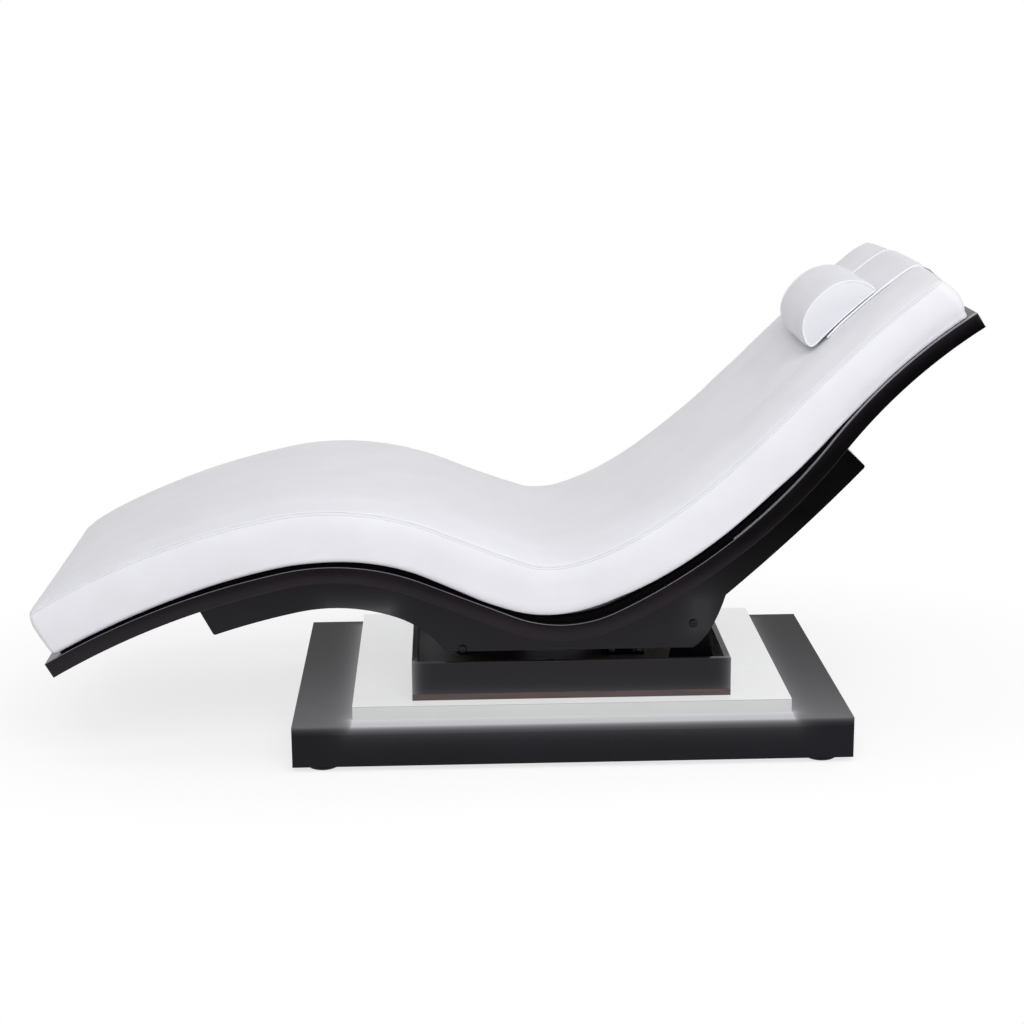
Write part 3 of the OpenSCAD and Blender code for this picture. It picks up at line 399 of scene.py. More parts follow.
def cushion_flat(counts, fine):
    """The closed cushion: points as (s, y, n), faces, and the points that stay put under air."""
    turns = np.linspace(0, 90, 9 if fine else 4)[:-1]
    rings = [under_ring(k, counts) for k in ("board", "edge", "flap")]
    rings += [round_ring(a, counts) for a in turns]
    under = len(rings)
    last_v = 1 - (18 if fine else 14) / SIDE_H
    rings += [side_ring(v, counts, detail=fine)[:3] for v in np.linspace(0, last_v, 13 if fine else 5)[:-1]]
    # millimetres from the seam, below and inside it
    near = [18, 14, 11, 8.6, 7, 6.0, 5.4, 5.0, 4.6, 4.0, 2.8, 1.7, 0.9, 0.4, 0] if fine else [14, 0]
    rings += [side_ring(0, counts, down=d, detail=fine)[:3] for d in near]
    seam = len(rings) - 1
    inward = [0.4, 0.9, 1.7, 2.8, 4.2, 6, 8.5, 12, 16, 22, 29, 36] if fine else [14, 36]
    rings += [top_ring(d, counts, detail=fine) for d in inward]
    m = len(rings[0][0])
    n_long, n_short, _ = counts
    pts = [np.stack(r, 1) for r in rings]
    faces = skin(len(rings), m)
    t, u = np.meshgrid(np.linspace(0, 1, n_long + 1), np.linspace(-1, 1, n_short + 1), indexing="ij")

    def grid(foot, side, head):
        s = (S_FOOT + foot) * (1 - t) + (S_HEAD - head) * t
        return s.ravel(), (u * (HALF_W - side - drawn(s))).ravel()
    gs, gy = grid(SEAM_FOOT + TOP_IN, SEAM_SIDE + TOP_IN, SEAM_HEAD + TOP_IN)
    hs, hy = grid(*LOW_GRID)

    def gid(corner):
        return corner[0] * (n_short + 1) + corner[1]
    top0 = len(rings) * m
    low0 = top0 + len(gs)
    pts += [np.stack([gs, gy, top_n(gs, gy)], 1), np.stack([hs, hy, np.full(len(hs), LOW)], 1)]
    g = grid_corners(counts)
    last = (len(rings) - 1) * m
    for i in range(m):
        j = (i + 1) % m
        a, b = gid(g[i]), gid(g[j])
        if a == b:
            faces += [(last + i, last + j, top0 + a), (j, i, low0 + a)]
        else:
            faces += [(last + i, last + j, top0 + b, top0 + a), (j, i, low0 + a, low0 + b)]
    for i in range(n_long):
        for j in range(n_short):
            q = [gid(c) for c in ((i, j), (i + 1, j), (i + 1, j + 1), (i, j + 1))]
            faces += [tuple(top0 + k for k in q), tuple(low0 + k for k in reversed(q))]
    pinned = np.concatenate([np.arange(0, under * m), np.arange(seam * m, (seam + 1) * m),
                             np.arange(low0, low0 + len(hs))])
    pts = np.vstack(pts)
    pts[:, 0] = bowed(*pts.T)
    return pts, faces, pinned


def inflated(name, points, faces, pinned, pressure, cap, frames=16):
    """How far air in a closed cloth moves each of its points, in metres and at most by cap."""
    mesh = bpy.data.meshes.new(name)
    mesh.from_pydata([tuple(p) for p in points], [], [tuple(f) for f in faces])
    mesh.update()
    obj = bpy.data.objects.new(name, mesh)
    scene.collection.objects.link(obj)
    obj.vertex_groups.new(name="held").add([int(i) for i in pinned], 1.0, "REPLACE")
    cloth = obj.modifiers.new("cloth", "CLOTH")
    how = cloth.settings
    how.quality = 5
    how.mass = 0.3
    how.tension_stiffness = how.compression_stiffness = 18
    how.shear_stiffness = 8
    how.bending_stiffness = 3
    how.use_pressure = True
    how.uniform_pressure_force = pressure
    how.effector_weights.gravity = 0
    how.vertex_group_mass = "held"
    cloth.point_cache.frame_start, cloth.point_cache.frame_end = 1, frames
    for f in range(1, frames + 1):
        scene.frame_set(f)
    shown = obj.evaluated_get(bpy.context.evaluated_depsgraph_get())
    done = shown.to_mesh()
    moved = np.empty(len(done.vertices) * 3)
    done.vertices.foreach_get("co", moved)
    shown.to_mesh_clear()
    bpy.data.objects.remove(obj)
    bpy.data.meshes.remove(mesh)
    scene.frame_set(1)
    move = moved.reshape(-1, 3) - points
    far = np.linalg.norm(move, axis=1)[:, None]
    return move * np.minimum(1, cap / np.maximum(far, 1e-9))


def spread_move(points, move):
    """A smooth reading of a coarse mesh's movement at any point near it."""
    tree = KDTree(len(points))
    for i, p in enumerate(points):
        tree.insert(p, i)
    tree.balance()

    def read(at):
        out = np.zeros((len(at), 3))
        for k, p in enumerate(at):
            near = tree.find_n(p, 9)
            reach = near[-1][2]
            w = np.array([(1 - (d / reach) ** 2) ** 2 for _, _, d in near])
            out[k] = (w[:, None] * move[[i for _, i, _ in near]]).sum(0) / w.sum()
        return out
    return read


# points along the long sides, along the ends and round a corner
COARSE, FINE, THREAD_COUNTS = (96, 34, 3), (280, 70, 9), (900, 260, 24)
p, f, pinned = cushion_flat(COARSE, False)
air = spread_move(p * MM, inflated("air_in_cushion", p * MM, f, pinned, AIR_PRESSURE, AIR_MOST * MM))


def puffed(points):
    """Flat cushion points with the air's push, but none where the band and the bolster press."""
    s, y = points[:, 0], points[:, 1]
    free = 1 - ease((s - 1860) / 60) * ease((205 - np.abs(y)) / 45)
    return points + air(points * MM) / MM * free[:, None]


flat, faces, _ = cushion_flat(FINE, True)
flat = puffed(flat)
cushion = new_piece("long_cushion", placed(*flat.T), faces, "lounge")
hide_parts("cushion")

# topstitches on the side panel, just below the seam, all the way round
PITCH, THREAD_L = 5.2 * MM, 3.7 * MM
THREAD_LIFT = np.array([-0.5, 0.25, 0.38, 0.25, -0.5]) * MM
THREAD_R = np.array([0.30, 0.42, 0.45, 0.42, 0.30]) * MM

s, y, n, (a, b) = side_ring(0, THREAD_COUNTS, down=STITCH_DOWN)
line = placed(*puffed(np.stack([bowed(s, y, n), y, n], 1)).T)
line, step, reach = round_line(line)
turn = wave(s, n)[2]
outward = np.stack([a * np.cos(turn), b, a * np.sin(turn)], 1)


def at_length(d):
    """The line's point at length d, and the way out from the leather there."""
    i = np.clip(np.searchsorted(reach, d, side="right") - 1, 0, len(step) - 1)
    t = ((d - reach[i]) / step[i])[..., None]
    return line[i] * (1 - t) + line[i + 1] * t, outward[i]


parts = []
total = reach[-1]
number = int(total / PITCH)
for k in range(number):
    d = (k + 0.5) * total / number + THREAD_L * np.linspace(-0.5, 0.5, len(THREAD_R))
    p, out = at_length(np.clip(d, 0, total - 1e-6))
    parts.append(tube(p + out * THREAD_LIFT[:, None], THREAD_R, 6))
v, f = joined(parts)
stitches = new_piece("long_cushion_stitches", v, f, "lounge")


# ---------------------------------------------------------------- deck
# The same board as the solid, with its edges eased by a little over a millimetre.

DECK_HALF, DECK_T, EASE_R = 375.0, 34.0, 1.2
STRIP_W, STRIP_FROM = 12.0, 1510.0    # the edge strip of its top, seen beside the cushion, painted lighter as a reflection
PLAIN, ARRIS, STRIP = 0, 1, 2         # what a face is, by its material's place on the piece


def deck_ring(inset):
    """Section of the board, drawn in by inset, with quarter-round arrises, and what each of its sides is."""
    out, kinds = [], []
    for k, (cy, cn) in enumerate(((1, -EASE_R), (-1, -EASE_R), (-1, EASE_R - DECK_T), (1, EASE_R - DECK_T))):
        for a in np.radians(90 * k + np.arange(0, 91, 22.5)):
            out.append((cy * (DECK_HALF - EASE_R) + (EASE_R - inset) * math.cos(a),
                        cn + (EASE_R - inset) * math.sin(a)))
        kinds += [ARRIS if k < 2 else PLAIN] * 4 + [PLAIN]
        if k == 0:
            out += [(side * (DECK_HALF - STRIP_W), -inset) for side in (1, -1)]
            kinds[-1:] = [STRIP, PLAIN, STRIP]
    return np.array(out), kinds


# the sections, each at its length and drawn in by its inset
foot_end = [(EASE_R * (1 - math.cos(a)), EASE_R * (1 - math.sin(a)))
            for a in map(math.radians, (0, 30, 60, 90))]
head_end = [(WAVE_L - s, inset) for s, inset in reversed(foot_end)]
sections = foot_end + [(s, 0.0) for s in np.linspace(0, WAVE_L, 201)[1:-1]] + head_end
verts, finish_of = [], []
for s, inset in sections:
    section, kinds = deck_ring(inset)
    verts.append(placed(np.full(len(section), s), section[:, 0], section[:, 1]))
m = len(kinds)
faces = skin(len(sections), m)
for here, after in zip(sections, sections[1:]):
    at_end = max(here[1], after[1]) > 0.01
    for kind in kinds:
        if kind == STRIP and here[0] <= STRIP_FROM:
            kind = PLAIN
        finish_of.append(ARRIS if at_end else kind)
faces += [tuple(range(m))[::-1], tuple(range((len(sections) - 1) * m, len(sections) * m))]
finish_of += [PLAIN, PLAIN]
deck = new_piece("deck_board", np.vstack(verts), faces, "lounge")
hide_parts("deck")


# ---------------------------------------------------------------- band over the head end

BAND_HALF, BAND_T = 150.0, 2.0
BAND_FROM = 1944.0       # its end under the bolster
BAND_CLEAR = 0.8         # from the cushion's built surface to its underside
BAND_OFF = 8.0           # it leaves the top panel so far before the seam
END_H, BAND_DOWN = 83.0, (6, 76)    # the end panel's height, and from where to where down it the band lies
PIPE_IN, PIPE_R = 1.0, 2.3


def head_profile(y, lift):
    """Path over the top panel, the end seam and the end panel at width y, lifted off the leather."""
    s_top = np.linspace(BAND_FROM, S_HEAD - SEAM_HEAD - BAND_OFF, 60)
    n_top = top_n(s_top, np.full_like(s_top, y))
    v = 1 - np.linspace(*BAND_DOWN, 24) / END_H
    s_end = S_HEAD - np.array([head_belly(k) for k in v])
    n_end = side_n(s_end, v)
    path = np.concatenate([np.stack([s_top, n_top], 1), np.stack([s_end, n_end], 1)])
    # a smooth turn over the seam
    for _ in range(5):
        path[1:-1] = path[1:-1] * 0.5 + (path[:-2] + path[2:]) * 0.25
    t = np.gradient(path, axis=0)
    t /= np.linalg.norm(t, axis=1)[:, None]
    path = path + lift * np.stack([-t[:, 1], t[:, 0]], 1)
    path[:, 0] = bowed(path[:, 0], y, path[:, 1])
    return path


across = np.linspace(-BAND_HALF, BAND_HALF, 61)
outer, inner = [], []
for y in across:
    dip = 0.5 * math.exp(-((BAND_HALF - abs(y)) / 4) ** 2)
    o = head_profile(y, BAND_CLEAR + BAND_T - dip)
    i = head_profile(y, BAND_CLEAR)
    unrest = 0.35 * bumps(o[:, 0] + o[:, 1], np.full(len(o), y), 90, 21)
    outer.append(placed(o[:, 0], y, o[:, 1] + unrest))
    inner.append(placed(i[:, 0], y, i[:, 1] + unrest))
sheets = np.array([outer, inner])
wide, long = sheets.shape[1:3]
# a point's number in the outer and the inner sheet, by width and length
o, n = np.arange(2 * wide * long).reshape(2, wide, long).tolist()
faces = []
for i in range(wide - 1):
    for j in range(long - 1):
        faces.append((o[i][j], o[i][j + 1], o[i + 1][j + 1], o[i + 1][j]))
        faces.append((n[i][j], n[i + 1][j], n[i + 1][j + 1], n[i][j + 1]))
for j in range(long - 1):
    faces.append((o[0][j], n[0][j], n[0][j + 1], o[0][j + 1]))
    faces.append((o[-1][j], o[-1][j + 1], n[-1][j + 1], n[-1][j]))
for i in range(wide - 1):
    faces.append((o[i][0], o[i + 1][0], n[i + 1][0], n[i][0]))
    faces.append((o[i][-1], n[i][-1], n[i + 1][-1], o[i + 1][-1]))
band = new_piece("bolster_band", sheets.reshape(-1, 3), faces, "lounge")
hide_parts("head_band")

pipes = []
for y in (PIPE_IN - BAND_HALF, BAND_HALF - PIPE_IN):
    path = head_profile(y, BAND_CLEAR + PIPE_R)
    pipes.append(tube(placed(path[:, 0], y, path[:, 1]), PIPE_R * MM, 12))
v, f = joined(pipes)
piping = new_piece("bolster_band_piping", v, f, "lounge")


# ---------------------------------------------------------------- neck bolster

BOLSTER_S, BOLSTER_LOW, BOLSTER_HALF = 1991.0, 104.0, 150.0
BOLSTER_CENTRE = np.array([-4.0, 36.0])
BOLSTER_PIPE_IN, BOLSTER_PIPE_R = 5.0, 2.3
# its outline on the end face, by length and height, from the lower edge over the top and back underneath
SECTION = np.array([(-58, 0.8), (-77, 3), (-82.5, 9), (-82, 19), (-75, 35), (-64.5, 49), (-49, 60.5),
                    (-30, 67.5), (-6, 71), (21, 68.5), (41, 60.5), (60, 47), (72.5, 29), (78.5, 13), (80, 4),
                    (75, 0.4), (40, 0), (0, 0), (-30, 0.2)])


def smooth_loop(p, count):
    """Closed Catmull-Rom curve through the points p, as count evenly spaced points."""
    out = []
    for i in range(len(p)):
        a, b, c, d = p[i - 1], p[i], p[(i + 1) % len(p)], p[(i + 2) % len(p)]
        t = np.linspace(0, 1, 24, endpoint=False)[:, None]
        out.append(0.5 * (2 * b + (c - a) * t + (2 * a - 5 * b + 4 * c - d) * t ** 2
                          + (3 * b - a - 3 * c + d) * t ** 3))
    line, _, at = round_line(np.vstack(out))
    want = np.linspace(0, at[-1], count, endpoint=False)
    return np.stack([np.interp(want, at, line[:, k]) for k in (0, 1)], 1)


loop = smooth_loop(SECTION, 132)
loop[:, 1] = np.maximum(loop[:, 1], 0)
radial = loop - BOLSTER_CENTRE
reach_in = np.linalg.norm(radial, axis=1)[:, None]
unit = radial / reach_in


def bolster_ring(y, share, grow):
    """The outline at width y, at a share of its reach from the centre and then grown, but not downward."""
    p = BOLSTER_CENTRE + unit * (reach_in * share + grow)
    p[:, 1] = np.where(loop[:, 1] < 14, np.maximum(p[:, 1], loop[:, 1]), p[:, 1])
    unrest = 0.5 * bumps(np.arctan2(unit[:, 1], unit[:, 0]) * 70, np.full(len(p), y), 110, 31)
    p = p + unit * (unrest * (loop[:, 1] > 12))[:, None]
    return placed(BOLSTER_S + p[:, 0], y, BOLSTER_LOW + p[:, 1])


# rows of width, share and growth: the swelling body, the turned edge with its groove, the domed end face
BODY_HALF = BOLSTER_HALF - 6
body = []
for t in np.linspace(0, 1, 40)[1:-1]:
    body.append((-BODY_HALF + 2 * BODY_HALF * t, 1.0, 4.6 * (1 - (2 * t - 1) ** 6) ** 0.6 - 0.4))
dome = [(0.0, 1.0), (0.12, 0.97), (0.3, 0.90), (0.5, 0.80), (0.68, 0.66), (0.82, 0.5), (0.93, 0.32),
        (1.0, 0.14)]
end = [(BOLSTER_HALF - 6.2, 1.0, -0.4), (BOLSTER_HALF - 5.2, 0.985, 0.2)]
end += [(BOLSTER_HALF - 4.6 + 4.2 * out, share * 0.985, 0) for out, share in dome]
rings = [bolster_ring(*row) for row in [(-y, share, grow) for y, share, grow in reversed(end)] + body + end]
m = len(loop)
verts = np.vstack(rings)
faces = [(a, d, c, b) for a, b, c, d in skin(len(rings), m)]
tip, last = len(verts), (len(rings) - 1) * m
for i in range(m):
    j = (i + 1) % m
    faces += [(i, j, tip), (last + j, last + i, tip + 1)]
verts = np.vstack([verts, rings[0].mean(0), rings[-1].mean(0)])
bolster = new_piece("half_round_bolster", verts, faces, "bolster")
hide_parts("neck_bolster")

# its piping lies just inside the outline, and no lower than its own radius
p = BOLSTER_CENTRE + unit * (reach_in - 0.6)
p[:, 1] = np.maximum(p[:, 1], BOLSTER_PIPE_R + 0.1)
pipes = []
for y in (BOLSTER_PIPE_IN - BOLSTER_HALF, BOLSTER_HALF - BOLSTER_PIPE_IN):
    line = placed(BOLSTER_S + p[:, 0], y, BOLSTER_LOW + p[:, 1])
    pipes.append(tube(line, BOLSTER_PIPE_R * MM, 10, closed=True))
v, f = joined(pipes)
bolster_piping = new_piece("half_round_bolster_piping", v, f, "bolster")


# ---------------------------------------------------------------- materials

def fill(nt, node, inputs):
    """Sets a node's inputs: a socket is linked, anything else is its value."""
    for key, value in inputs.items():
        if isinstance(value, bpy.types.NodeSocket):
            nt.links.new(value, node.inputs[key])
        else:
            node.inputs[key].default_value = value


def add(nt, kind, inputs=None, **settings):
    """The outputs of a new node, made with its settings and inputs."""
    node = nt.nodes.new("ShaderNode" + kind)
    for key, value in settings.items():
        setattr(node, key, value)
    fill(nt, node, inputs or {})
    return node.outputs


def calc(nt, operation, *values, kind="Math", out=0):
    """One step of arithmetic on sockets and values."""
    return add(nt, kind, dict(enumerate(values)), operation=operation)[out]


def nodes_of(name):
    mat = bpy.data.materials.new(name)
    mat.use_nodes = True
    return mat, mat.node_tree, mat.node_tree.nodes["Principled BSDF"]


def place(nt, scale=(1, 1, 1)):
    """Row coordinates, which every piece shares, stretched by scale."""
    own = add(nt, "TexCoord")["Object"]
    return add(nt, "Mapping", {"Vector": own, "Scale": scale})["Vector"]


def ramp(nt, source, stops):
    node = nt.nodes.new("ShaderNodeValToRGB")
    for stop, (at, colour) in zip(node.color_ramp.elements, stops):
        stop.position, stop.color = at, (*colour, 1)
    nt.links.new(source, node.inputs["Fac"])
    return node.outputs["Color"]


def spread(nt, source, low, high):
    return add(nt, "MapRange", {"Value": source, "To Min": low, "To Max": high})["Result"]


def eased(nt, source, start, end):
    """A mask that rises smoothly from 0 at start to 1 at end."""
    return add(nt, "MapRange", {"Value": source, "From Min": start, "From Max": end},
               interpolation_type="SMOOTHSTEP")["Result"]


def between(nt, vec, axis, start, end):
    """The same mask along one axis of the row."""
    return eased(nt, add(nt, "SeparateXYZ", {0: vec})[axis], start, end)


def bump(nt, height, distance, strength, under=None):
    inputs = {"Height": height, "Distance": distance, "Strength": strength}
    if under is not None:
        inputs["Normal"] = under
    return add(nt, "Bump", inputs)["Normal"]


def noise(nt, vec, scale, detail, rough=0.5):
    return add(nt, "TexNoise", {"Vector": vec, "Scale": scale, "Detail": detail, "Roughness": rough})["Fac"]


def mixed(nt, mask, under, over):
    return add(nt, "Mix", {0: mask, 6: under, 7: (*over, 1)}, data_type="RGBA")[2]


def hide_material(name, colour, rough, grain=1.0):
    """Coated hide: a pebbled grain of about a millimetre, finer pores in it and soft colour changes."""
    mat, nt, bsdf = nodes_of(name)
    vec = place(nt)
    dark = tuple(x * 0.962 for x in colour)
    wander = add(nt, "TexNoise", {"Vector": vec, "Scale": 300})["Color"]
    warped = calc(nt, "MULTIPLY_ADD", wander, (0.0012, 0.0012, 0.0012), vec, kind="VectorMath")
    cells = add(nt, "TexVoronoi", {"Vector": warped, "Scale": 720}, feature="DISTANCE_TO_EDGE")["Distance"]
    pebbles = bump(nt, cells, 0.00022 * grain, 0.55)
    pores = bump(nt, noise(nt, vec, 2600, 2), 0.00005 * grain, 0.6, pebbles)
    fill(nt, bsdf, {
        "Base Color": ramp(nt, noise(nt, vec, 9, 3), [(0.32, dark), (0.68, colour)]),
        "Roughness": spread(nt, noise(nt, vec, 160, 5, 0.6), rough - 0.07, rough + 0.09),
        "Normal": bump(nt, noise(nt, vec, 34, 3), 0.0012 * grain, 0.30, pores),
        "Specular IOR Level": 0.38, "Sheen Weight": 0.06, "Sheen Roughness": 0.45})
    return mat


def near_box(nt, vec, box, reach, strength, steep=1):
    """Light that spills from a box, in row coordinates: strength at it, fading over reach metres, and steep
    times as fast downward."""
    lo, hi = np.array(box[:3], float) * (1, 1, steep), np.array(box[3:], float) * (1, 1, steep)
    value = place(nt, (1, 1, steep)) if steep != 1 else vec
    for operation, *second in (("SUBTRACT", tuple((lo + hi) / 2)), ("ABSOLUTE",),
                               ("SUBTRACT", tuple((hi - lo) / 2)), ("MAXIMUM", (0, 0, 0))):
        value = calc(nt, operation, value, *second, kind="VectorMath")
    value = calc(nt, "LENGTH", value, kind="VectorMath", out=1)
    fading = calc(nt, "EXPONENT", calc(nt, "MULTIPLY", value, -1 / reach))
    return calc(nt, "MULTIPLY", fading, strength)


def lacquer_material(name, colour, rough, level, peel=1.0, tint=(1.0, 0.96, 1.0), spill=(), patches=()):
    """Sprayed lacquer: near-black, with faint flow of the spray, fine dust and rubbed spots. spill is light
    painted on it as a glow, such as the lit slab's; patches are places with another base: painted
    highlights, painted shade and painted light."""
    mat, nt, bsdf = nodes_of(name)
    vec = place(nt)
    light = tuple(x * 1.35 + 0.0004 for x in colour)
    base = ramp(nt, noise(nt, vec, 5, 4), [(0.3, colour), (0.72, light)])
    for axis, start, end, over in patches:
        base = mixed(nt, between(nt, vec, axis, start, end), base, over)
    flow = bump(nt, noise(nt, vec, 240, 2), 0.00006 * peel, 0.5)
    fill(nt, bsdf, {
        "Base Color": base,
        "Roughness": spread(nt, noise(nt, vec, 14, 6, 0.62), rough - 0.05, rough + 0.07),
        "Normal": bump(nt, noise(nt, vec, 1500, 1), 0.00001 * peel, 0.4, flow),
        "Specular IOR Level": level, "Specular Tint": (*tint, 1)})
    total = None
    for row in spill:
        value = near_box(nt, vec, *row)
        total = value if total is None else calc(nt, "ADD", total, value)
    if spill:
        fill(nt, bsdf, {"Emission Color": ramp(nt, total, [(0.0, (0, 0, 0)), (1.0, (0.96, 0.95, 1.0))]),
                        "Emission Strength": 1.0})
    return mat


def wood_material(name, dark, light, rough):
    """Board: long grain on the faces, thin layers seen on the edges."""
    mat, nt, bsdf = nodes_of(name)
    grain = noise(nt, place(nt, (3.0, 40.0, 40.0)), 4, 8, 0.65)
    layers = add(nt, "TexWave", {"Vector": place(nt, (1, 1, 40)), "Scale": 5.0, "Distortion": 1.2,
                                 "Detail": 3}, bands_direction="Z")["Fac"]
    mix = calc(nt, "MULTIPLY_ADD", layers, 0.35, grain)
    fill(nt, bsdf, {
        "Base Color": ramp(nt, mix, [(0.35, dark), (0.85, light)]),
        "Roughness": spread(nt, grain, rough - 0.08, rough + 0.1),
        "Normal": bump(nt, grain, 0.0003, 0.5)})
    return mat


def metal_material(name, colour, rough, metallic=1.0, stretch=(1, 1, 1), peel=0.00004, level=0.5):
    """Metal, bare or coated: cloudy colour, uneven gloss and a fine roughness, drawn out along stretch."""
    mat, nt, bsdf = nodes_of(name)
    vec = place(nt, stretch)
    dark = tuple(x * 0.82 for x in colour)
    fill(nt, bsdf, {
        "Base Color": ramp(nt, noise(nt, vec, 30, 5), [(0.3, dark), (0.7, colour)]),
        "Roughness": spread(nt, noise(nt, vec, 120, 5, 0.6), rough - 0.07, rough + 0.1),
        "Normal": bump(nt, noise(nt, vec, 700, 3), peel, 0.5),
        "Metallic": metallic, "Specular IOR Level": level})
    return mat


def board_material(name, colour):
    """Black backing cloth: fine woven ribs and lint."""
    mat, nt, bsdf = nodes_of(name)
    vec = place(nt)
    woven = None
    for direction in "YX":
        ribs = add(nt, "TexWave", {"Vector": vec, "Scale": 110, "Distortion": 0.8}, bands_direction=direction)
        woven = bump(nt, ribs["Fac"], 0.0003, 0.7, woven)
    lint = noise(nt, vec, 420, 5, 0.7)
    light = tuple(x * 2.5 + 0.001 for x in colour)
    fill(nt, bsdf, {
        "Base Color": ramp(nt, lint, [(0.35, colour), (0.8, light)]),
        "Normal": bump(nt, lint, 0.0004, 0.6, woven),
        "Roughness": 0.9, "Specular IOR Level": 0.08})
    return mat


def acrylic_material(name, top):
    """Frosted acrylic lit from inside: bright on its top, which is at height top, duller on its edges."""
    mat, nt, bsdf = nodes_of(name)
    vec = place(nt)
    base = ramp(nt, noise(nt, vec, 7, 3), [(0.3, (0.33, 0.333, 0.333)), (0.7, (0.36, 0.363, 0.363))])
    base = mixed(nt, between(nt, vec, 2, top - 0.0032, top - 0.0016), base, (0.16, 0.163, 0.163))
    base = mixed(nt, between(nt, vec, 2, top - 0.0010, top - 0.0002), base, (0.22, 0.222, 0.222))
    glow = ramp(nt, between(nt, vec, 2, top - 0.002, top - 0.0002),
                [(0.0, (0.27, 0.271, 0.271)), (1.0, (0.57, 0.572, 0.572))])
    fill(nt, bsdf, {
        "Base Color": base, "Emission Color": glow, "Emission Strength": 1.0,
        "Roughness": spread(nt, noise(nt, vec, 60, 4), 0.28, 0.42),
        "Normal": bump(nt, noise(nt, vec, 900, 2), 0.00002, 0.4),
        "Specular IOR Level": 0.3})
    return mat


def corners(node):
    lo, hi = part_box(node)
    return [*lo, *hi]


# places in row coordinates, each as its low and high corner
slab, front_wall, board = corners("glow_slab"), corners("trough_front"), corners("plinth_top")
slab_top, rim, board_top = slab[5], front_wall[5], board[5]
beyond_foot = (slab[0], front_wall[1] - 0.01, slab_top, front_wall[0], front_wall[4], rim)
beyond_head = (front_wall[3], front_wall[1] - 0.01, slab_top, slab[3], front_wall[4], rim)
lip = (slab[0], board[1], board_top, slab[3], slab[1], board_top)
# the plinth top's front edge, from which a painted reflection fades back over its top
front_line = (board[0], board[1], board_top, board[3], board[1], board_top)
# where the slab's light falls on the keel
KEEL_LIT = [((-0.36, -0.30, 0.300, -0.24, -0.27, 0.322), 0.014, 0.055),
            ((0.40, -0.30, 0.27, 0.43, -0.27, 0.33), 0.022, 0.018)]

# the hide's white; the piping's lighter white is a painted highlight, and the thread's grey is painted shade
# along the stitch line
WHITE, PIPING_HIGHLIGHT_WHITE, THREAD_SHADE_GREY = (0.80, 0.80, 0.845), (0.90, 0.90, 0.93), (0.40, 0.40, 0.42)
BROWNISH, BLUISH = (0.0054, 0.0036, 0.0052), (0.0034, 0.0029, 0.0050)
# painted light: lighter lacquer stands for the highlight on the trough's rim and on the deck's arrises, and
# for a reflection on the deck's top edge strip
TROUGH_RIM_HIGHLIGHT, DECK_ARRIS_HIGHLIGHT, DECK_STRIP_REFLECTION = (0.022, 0.021, 0.024), (0.11, 0.105, 0.115), (0.24, 0.235, 0.26)
# painted highlight: lighter lacquer on the plinth top board's edge faces, from just under its top
PLINTH_EDGE_HIGHLIGHT = (0.0135, 0.013, 0.0145)
# painted light on the trough walls' inner faces: dim on the back and foot walls, bright on the head wall
INNER_DIM_PAINTED_LIGHT, INNER_BRIGHT_PAINTED_LIGHT = (0.010, 0.011, 0.010), (0.26, 0.255, 0.27)
DECK_SHADE, KEEL_SHADE = (0.0014, 0.0010, 0.0014), (0.0008, 0.0007, 0.0009)


def painted_inner_light(node, side, colour):
    """Patch of painted light on a wall's face toward the trough's inside: side is that face's place in the
    wall's corners.
    """
    face = corners(node)[side]
    return side % 3, face + (0.002 if side < 3 else -0.002), face, colour


# walls of the trough: the slab's light painted on them as a glow, and a lighter band just under the rim as a
# painted highlight
def trough_lacquer(name, level, *patches):
    return lacquer_material(
        name, BLUISH, 0.17, level,
        spill=[(slab, 0.010, 0.10), (beyond_foot, 0.008, 0.16), (beyond_head, 0.008, 0.12)],
        patches=[(2, rim - 0.0018, rim - 0.0004, TROUGH_RIM_HIGHLIGHT), *patches])


finishes = {
    "white_hide": hide_material("white_hide_grain", WHITE, 0.47),
    "plinth_lacquer": lacquer_material("plinth_lacquer_gloss", BLUISH, 0.17, 0.17,
                                       spill=[(lip, 0.013, 0.11)]),
    "deck_lacquer": lacquer_material("deck_lacquer_satin", BROWNISH, 0.24, 0.25, 1.6, (1.0, 0.94, 1.0),
                                     patches=[(0, 0.34, 0.56, DECK_SHADE)]),
    "brown_board": wood_material("brown_board_grain", (0.038, 0.025, 0.024), (0.092, 0.062, 0.059), 0.45),
    "raw_wood": wood_material("raw_board_grain", (0.30, 0.19, 0.10), (0.56, 0.42, 0.27), 0.62),
    "black_board": board_material("black_backing", (0.0012, 0.0012, 0.0014)),
    "lit_acrylic": acrylic_material("lit_acrylic_frost", slab_top),
    "steel": metal_material("bright_steel", (0.56, 0.57, 0.59), 0.32),
    "black_metal": metal_material("black_coated_steel", (0.002, 0.002, 0.0024), 0.42, 0.0, peel=0.0001,
                                  level=0.06),
    "black_bolt": metal_material("blackened_bolt", (0.012, 0.012, 0.014), 0.34, 0.6),
    "cast_housing": metal_material("cast_housing_paint", (0.10, 0.10, 0.11), 0.55, 0.3, peel=0.0002),
    "aluminium": metal_material("drawn_aluminium", (0.62, 0.63, 0.65), 0.36, 1.0, (1, 30, 30)),
    "black_plastic": lacquer_material("moulded_black_plastic", (0.0022, 0.0022, 0.0026), 0.42, 0.10, 3.0),
    "bronze": metal_material("bearing_bronze", (0.46, 0.26, 0.11), 0.38),
    "led_strip": lacquer_material("strip_white", (0.55, 0.56, 0.55), 0.45, 0.4),
}
